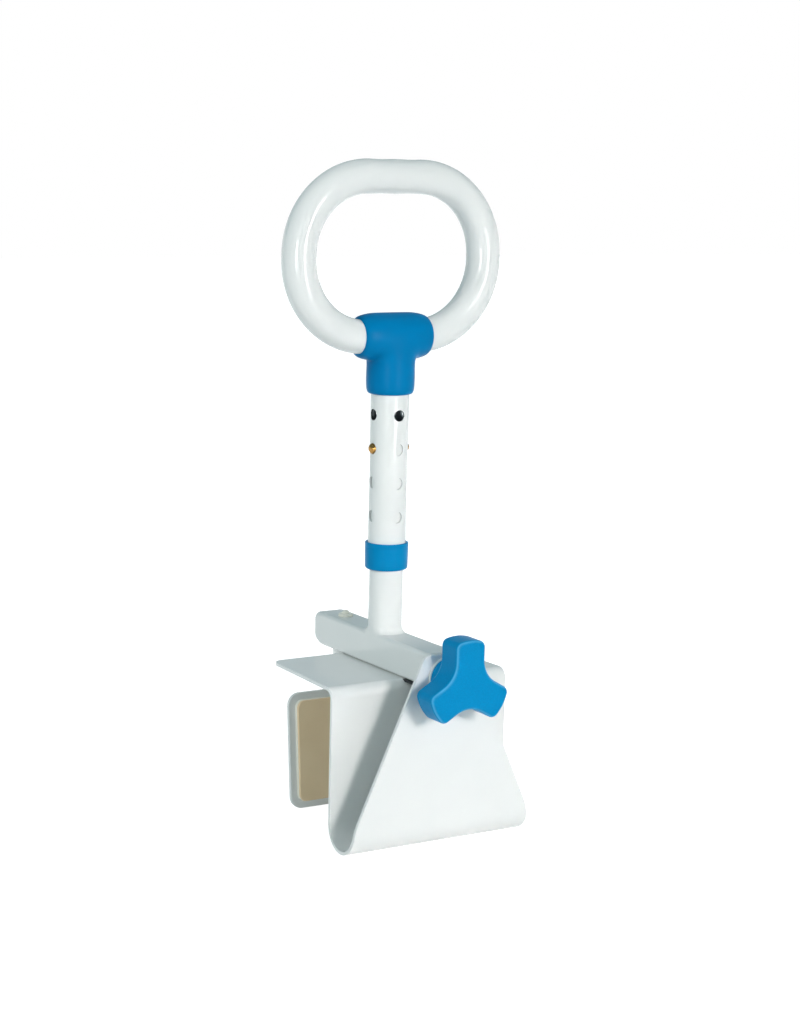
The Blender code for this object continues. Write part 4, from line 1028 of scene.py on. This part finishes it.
def bare_and_shaded_inside(tube, bore, outer):
    """Uncoated metal in the tube's bore, and above the post in the walls of its holes, made very dark as painted shade
    inside the hollow tube.
    """
    tube.data.materials.append(FINISHES["shaded_bore_steel"])
    for face in tube.data.polygons:
        limit = outer if face.center.z > POST_HIGH.z * MM else bore
        if hypot(face.center.x, face.center.y) < limit * MM:
            face.material_index = 1
    return tube


def make_outer_tube():
    bore = POST_R + GAP
    bottom, top = TUBE_LOW.z, TUBE_HIGH.z
    profile = [(bore, bottom), (TUBE_R, bottom), (TUBE_R, top), (bore, top)]
    profile = soften(profile, {0: 0.3, 1: 0.4}, 3)
    tube = piece("tube", turned(profile, "Z", 128), "white_powder_coat", "handle", "outer_tube")
    cutters = []
    for row in range(HOLE_ROWS):
        z = BUTTON_Z + (row - BUTTON_ROW) * HOLE_PITCH
        for axis in ("X", "Y"):
            cutters.append(prism(circle(HOLE_R, 40, (0, z)), axis, -ACROSS, ACROSS))
    cutters.append(prism(circle(RING_TUBE_R + GAP, 64, (0, TEE_Z)), "X", -ACROSS, ACROSS))
    cut(tube, *cutters)
    margin = 0.1
    return bare_and_shaded_inside(tube, bore + margin, TUBE_R - 2 * margin)


def ring_path():
    """Points and directions along the ring's centre line, from the right end round to the left one."""
    steps = 36
    half = RING_STRAIGHT / 2
    lower = TEE_Z + RING_BEND_R
    upper = lower + RING_SIDE
    arcs = [((half, lower), -90, 0), ((half, upper), 0, 90), ((-half, upper), 90, 180),
            ((-half, lower), 180, 270)]
    path = [(SEAM, TEE_Z)]
    tangents = [(1.0, 0.0)]
    for centre, start, end in arcs:
        if start == 90:
            for k in range(1, 8):
                path.append((half - RING_STRAIGHT * k / 8, upper + RING_BEND_R))
                tangents.append((-1.0, 0.0))
        path += arc(centre, RING_BEND_R, start, end, steps)
        for i in range(steps + 1):
            a = radians(start + 90 * i / steps)
            tangents.append((-sin(a), cos(a)))
    path.append((-SEAM, TEE_Z))
    tangents.append((1.0, 0.0))
    return path, tangents


def swept(path, tangents, radius, sides):
    """A round bar along a path in the plane Y = 0; radius may be a function of the point."""
    bm = bmesh.new()
    rings = []
    for (x, z), (tx, tz) in zip(path, tangents):
        r = radius(x, z) if callable(radius) else radius
        rings.append([bm.verts.new((x - tz * a, b, z + tx * a)) for a, b in circle(r, sides)])
    loft(bm, rings)
    return bm, rings


def ring_radius(x, z):
    """The bent tube's radius: a touch fuller in the top bar's middle than where the bends start."""
    if z < TEE_Z + 1.8 * RING_BEND_R:  # below the top bar
        return RING_TUBE_R
    return RING_TUBE_R - RING_NECK * sin(min(abs(x) / RING_NECK_END, 1.0) * pi) ** 2


def make_ring():
    bm, rings = swept(*ring_path(), ring_radius, 72)
    close_rings(bm, rings)
    return piece("grip_ring", bm, "white_powder_coat", "handle", "ring_tube")


def octagon(radius):
    """Eight cage points whose smoothed curve has the given radius."""
    cage = radius / (2 / 3 + cos(radians(45)) / 3)
    return [(cage * cos(radians(45 * k)), cage * sin(radians(45 * k))) for k in range(8)]


def close_end(bm, loop, centre):
    middle = bm.verts.new(centre)
    for k in range(0, 8, 2):
        bm.faces.new((middle, loop[k], loop[(k + 1) % 8], loop[(k + 2) % 8]))


def make_tee():
    """Moulded joint: a smoothed cage of two short arms and a socket, bored out for the tubes."""
    bm = bmesh.new()
    bottom = TEE_LOW.z - TEE_CAGE_DROP
    drop = TEE_Z - bottom
    half = TEE_ARM_HALF_LENGTH
    cage_arm = octagon(TEE_ARM_R)[0][0]
    cage_socket = octagon(TEE_SOCKET_R)[0][0]
    diagonal = cos(radians(45))
    low_z = TEE_Z - cage_arm * diagonal

    def arm_loop(x, radius, count=8):
        return [bm.verts.new((x, -a, TEE_Z + b)) for a, b in octagon(radius)[:count]]

    middle = arm_loop(0, TEE_ARM_R, 5)
    front_low = bm.verts.new((0, -cage_socket, low_z))
    back_low = bm.verts.new((0, cage_socket, low_z))
    sides = {}
    for side in (-1, 1):
        upper = arm_loop(side * TEE_ARM_R * 0.74, TEE_ARM_R, 5)
        corner = cage_socket * diagonal
        back = bm.verts.new((side * corner, corner, low_z))
        under = bm.verts.new((side * TEE_SOCKET_R * 1.02, 0, TEE_Z - cage_arm))
        front = bm.verts.new((side * corner, -corner, low_z))
        sides[side] = upper + [back, under, front]
        for k in range(4):
            bm.faces.new((middle[k], middle[k + 1], upper[k + 1], upper[k]))
        bm.faces.new((middle[4], back_low, back, upper[4]))
        bm.faces.new((front_low, middle[0], upper[0], front))
        loops = [sides[side]]
        # Cage loops: place along the arm and share of its radius
        for x, share in ((half * 0.66, 0.985), (half - 2.5, 0.90), (half, 0.80), (half, 0.5)):
            loops.append(arm_loop(side * x, TEE_ARM_R * share))
        loft(bm, loops)
        close_end(bm, loops[-1], (side * half, 0, TEE_Z))
    right, left = sides[1], sides[-1]
    loops = [[right[6], right[5], back_low, left[5], left[6], left[7], front_low, right[7]]]
    levels = ((bottom + drop * 0.42, TEE_SOCKET_R), (bottom + TEE_RIM_R, TEE_SOCKET_R),
              (bottom, TEE_SOCKET_R - TEE_RIM_R * 0.35), (bottom, TEE_SOCKET_R * 0.6))
    for z, radius in levels:
        loops.append([bm.verts.new((a, b, z)) for a, b in octagon(radius)])
    loft(bm, loops)
    close_end(bm, loops[-1], (0, 0, bottom))
    tee = piece("tee", bm, "tee_blue", "handle", "tee_joint", sharp=40)
    smooth = tee.modifiers.new("moulded_form", "SUBSURF")
    smooth.levels = smooth.render_levels = 4
    apply_modifiers(tee, 40)
    socket = TUBE_R + MOULD_FIT
    relief = socket + 1.6
    inside = TEE_Z - TEE_BORE_END
    bore = [(0, bottom - PAST), (socket, bottom - PAST), (socket, TEE_Z - 20.5), (relief, TEE_Z - 19),
            (relief, inside), (0, inside)]
    path, tangents = ring_path()
    reach = sum(1 for x, z in path if 0 < x < half and z < TEE_Z + RING_BEND_R) + 2
    sleeve_path = [(-x, z) for x, z in reversed(path[1:reach])] + path[1:reach]
    sleeve_way = [(x, -z) for x, z in reversed(tangents[1:reach])] + tangents[1:reach]
    sleeve, rings = swept(sleeve_path, sleeve_way, RING_TUBE_R + MOULD_FIT, 96)
    close_rings(sleeve, rings)
    return cut(tee, turned(bore, "Z", 96), sleeve, sharp=40)


# Knob and washer

def lobe_outline():
    """Half of a lobe along +X, from the middle of the hollow beside it to the middle of its tip."""
    hollow = radians(60)
    reach = (LOBE_ROOT_R + LOBE_HALF_WIDTH) / sin(hollow)
    root = (reach * cos(hollow), reach * sin(hollow))
    corner_y = LOBE_HALF_WIDTH - LOBE_CORNER_R
    corner_x = sqrt((KNOB_REACH - LOBE_CORNER_R) ** 2 - corner_y ** 2)
    tip = degrees(atan2(corner_y, corner_x))
    points = arc(root, LOBE_ROOT_R, 240, 270, 14)
    points += [(corner_x * 0.75 + root[0] * 0.25, LOBE_HALF_WIDTH)]
    points += arc((corner_x, corner_y), LOBE_CORNER_R, 90, tip, 12)
    points += arc((0, 0), KNOB_REACH, tip, 0, 8)[1:]
    return points


def knob_outline(centre):
    half = lobe_outline()
    lobe = [(x, -y) for x, y in half[1:]][:-1] + half[::-1]
    points = []
    for i in range(3):
        turn = Matrix.Rotation(radians(90 + 120 * i), 2)
        points += [tuple(turn @ Vector(point) + Vector(centre)) for point in lobe]
    return points


def make_knob():
    """Three-lobed knob with a hub behind it, bored for the screw and its hexagonal head."""
    centre = (0, SCREW_Z)
    front = KNOB_LOW.y
    rear = front + KNOB_DEPTH
    bm = prism(knob_outline(centre), "Y", front, rear)
    knob = piece("knob", bm, "knob_blue", "knob", "knob_body", sharp=40)
    bevel(knob, KNOB_EDGE_R, 8, 60, 40)
    hub_rear = KNOB_HIGH.y
    hub_front = rear - HUB_OVERLAP
    hub = soften([(0, hub_rear), (HUB_R, hub_rear), (HUB_R, hub_front), (0, hub_front)], {1: 1.2}, 6)
    cut(knob, turned(hub, "Y", 96, centre), operation="UNION", sharp=40)
    bore = prism(circle(SCREW_BORE_R, 40, centre), "Y", rear - 2 * HUB_OVERLAP, hub_rear + PAST)
    across_flats = corners("clamp_screw")[1].x * 2 * cos(radians(30)) + 2 * GAP
    seat_points = arc(centre, across_flats / sqrt(3), 0, 300, 5)
    seat_rear = front + KNOB_FACE_T + SCREW_HEAD_H + GAP
    seat = prism(seat_points, "Y", front + KNOB_FACE_T - GAP, seat_rear)
    shank = prism(circle(SCREW_BORE_R, 40, centre), "Y", seat_rear - 1, rear)
    return cut(knob, bore, seat, shank, sharp=40)


def make_washer():
    outer = (WASHER_HIGH.x - WASHER_LOW.x) / 2
    profile = [(SCREW_BORE_R, WASHER_HIGH.y), (outer, WASHER_HIGH.y), (outer, WASHER_LOW.y),
               (SCREW_BORE_R, WASHER_LOW.y)]
    bm = turned(soften(profile, {1: 0.4, 2: 0.6}, 5), "Y", 96, (0, SCREW_Z))
    return piece("washer", bm, "white_plastic", "bracket", "thrust_washer", sharp=45)


# Finishes of the nodes that keep their own solid

CARRIED = {
    "white_powder_coat": ("jaw_stem",),
    "painted_weld": ("jaw_weld_left", "jaw_weld_right", "tee_weld"),
    "grey_rubber": ("bracket_pad",),
    "black_nylon": ("guide_shoe",),
    "zinc_steel": ("threaded_block", "stem_insert", "jaw_bolt", "screw_retainer", "clamp_screw",
                   "ring_spigot"),
}
for finish, nodes in CARRIED.items():
    for node in nodes:
        mesh = frame["nodes"][node].data
        mesh.materials.clear()
        mesh.materials.append(FINISHES[finish])


# Studio

def camera_ray(owner):
    """1 for rays that see the background straight, in a mirror or through glass."""
    path = owner.node_tree.nodes.new("ShaderNodeLightPath")
    total = path.outputs["Is Camera Ray"]
    for ray in ("Is Glossy Ray", "Is Transmission Ray"):
        total = combine(owner, "MAXIMUM", total, path.outputs[ray])
    return total


def by_ray(owner, lighting, seen):
    """One shader lights the object, another is what shows behind it."""
    mix = owner.node_tree.nodes.new("ShaderNodeMixShader")
    for source, socket in ((camera_ray(owner), "Fac"), (lighting.outputs[0], 1), (seen.outputs[0], 2)):
        owner.node_tree.links.new(source, mix.inputs[socket])
    return mix.outputs[0]


# Studio's walls and ceiling: the change's start and end height as a share of straight up, then both colours
SEEN_SKY = (0.08, 0.22, (1.0, 1.0, 1.0), (0.3, 0.4, 0.43))
LIGHT_SKY = (0.1, 0.6, (0.42, 0.55, 0.54), (0.18, 0.255, 0.28))


def by_height(world, height, start, end, lower, upper):
    """Colour that goes smoothly from one value to another as the direction rises."""
    share = spread(world, height, start, end)
    share.node.interpolation_type = "SMOOTHSTEP"
    return mix_colour(world, share, lower, upper)


def make_world():
    world = bpy.data.worlds.new("studio")
    bpy.context.scene.world = world
    world.use_nodes = True
    nodes, links = world.node_tree.nodes, world.node_tree.links
    height = coordinate(world, "Generated", "Z")
    light = nodes["Background"]
    links.new(by_height(world, height, *LIGHT_SKY), light.inputs["Color"])
    seen = nodes.new("ShaderNodeBackground")
    links.new(by_height(world, height, *SEEN_SKY), seen.inputs["Color"])
    links.new(by_ray(world, light, seen), nodes["World Output"].inputs["Surface"])


def make_floor():
    """Plain pale floor: white where it is seen, with the object's shadow on it."""
    size = 8.0
    clearance = 0.0002
    z = FLOOR_Z * MM - clearance
    bm = bmesh.new()
    bm.faces.new([bm.verts.new((x * size, y * size, z)) for x, y in ((-1, -1), (1, -1), (1, 1), (-1, 1))])
    floor = mesh_object("floor", bm)
    mat = bpy.data.materials.new("floor")
    mat.use_nodes = True
    nodes, links = mat.node_tree.nodes, mat.node_tree.links
    nodes.clear()
    plain, shaded = (nodes.new("ShaderNodeBsdfDiffuse") for _ in range(2))
    for shader, grey in ((plain, 0.85), (shaded, 0.5)):
        shader.inputs["Color"].default_value = (grey, grey, grey, 1)
    glow = nodes.new("ShaderNodeEmission")
    glow.inputs["Strength"].default_value = 0.93
    seen = nodes.new("ShaderNodeAddShader")
    links.new(shaded.outputs[0], seen.inputs[0])
    links.new(glow.outputs[0], seen.inputs[1])
    output = nodes.new("ShaderNodeOutputMaterial")
    links.new(by_ray(mat, plain, seen), output.inputs["Surface"])
    floor.data.materials.append(mat)
    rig.stage(floor)


LAMP_TARGET = Vector((0.0, 0.0, -0.05))
KEY_SPREAD = 50.0  # angle of the key lamp's beam, narrowed by a grid

# Azimuth in degrees from -Y towards +X, distance, height and size in metres, power, colour
LAMPS = {
    "key": (2, 3.0, 0.95, (0.65, 0.65), 4.2, (1.0, 0.94, 0.925)),
    "strip": (9, 1.9, 0.25, (0.2, 1.4), 18, (1.0, 0.95, 0.94)),
    "fill": (26, 1.9, 0.25, (0.08, 1.3), 3.8, (1.0, 0.95, 0.94)),
    "window": (-46, 1.9, 0.3, (0.3, 0.6), 11, (1.0, 1.0, 1.0)),
    "side": (-85, 1.7, 1.1, (0.6, 1.0), 10.2, (1.0, 1.0, 1.0)),
    "back": (143, 2.0, 0.3, (0.9, 0.9), 14, (1.0, 1.0, 1.0)),
}
HIGHLIGHTS = ("strip", "window")  # these only show as highlights, and the others only light the object


def make_lights():
    """Rectangular lamps aimed at the object."""
    for name, (azimuth, distance, height, size, power, colour) in LAMPS.items():
        data = bpy.data.lights.new(name, "AREA")
        data.shape = "RECTANGLE"
        data.size, data.size_y = size
        data.energy = power
        data.color = colour
        light = add_object(name, data)
        turn = radians(azimuth)
        light.location = (distance * sin(turn), -distance * cos(turn), height)
        light.rotation_mode = "QUATERNION"
        light.rotation_quaternion = (LAMP_TARGET - light.location).to_track_quat("-Z", "Y")
        light.visible_glossy = name in HIGHLIGHTS
        light.visible_diffuse = name not in HIGHLIGHTS
    bpy.data.lights["key"].spread = radians(KEY_SPREAD)


make_camera()
make_bracket_sheet()
make_cross_beam()
make_end_cap()
make_inner_post()
make_post_weld()
make_button("button_left", -1)
make_button("button_right", 1)
make_snap_spring("spring_leg_left", -1, "button_left")
make_snap_spring("spring_leg_right", 1, "button_right")
make_plug()
make_jaw()
make_collar()
make_outer_tube()
make_ring()
make_tee()
make_knob()
make_washer()
for shown in SHOWN:
    # A large flat face keeps its own normal where it runs into a rounded edge
    shown.modifiers.new("even_normals", "WEIGHTED_NORMAL").keep_sharp = True
make_world()
make_floor()
make_lights()
bpy.context.scene.view_settings.view_transform = "Standard"

scene_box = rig.bounds()
with open("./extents.json", "w") as out:
    json.dump({"cad": [list(c) for c in cad_box], "scene": [list(c) for c in scene_box]}, out)
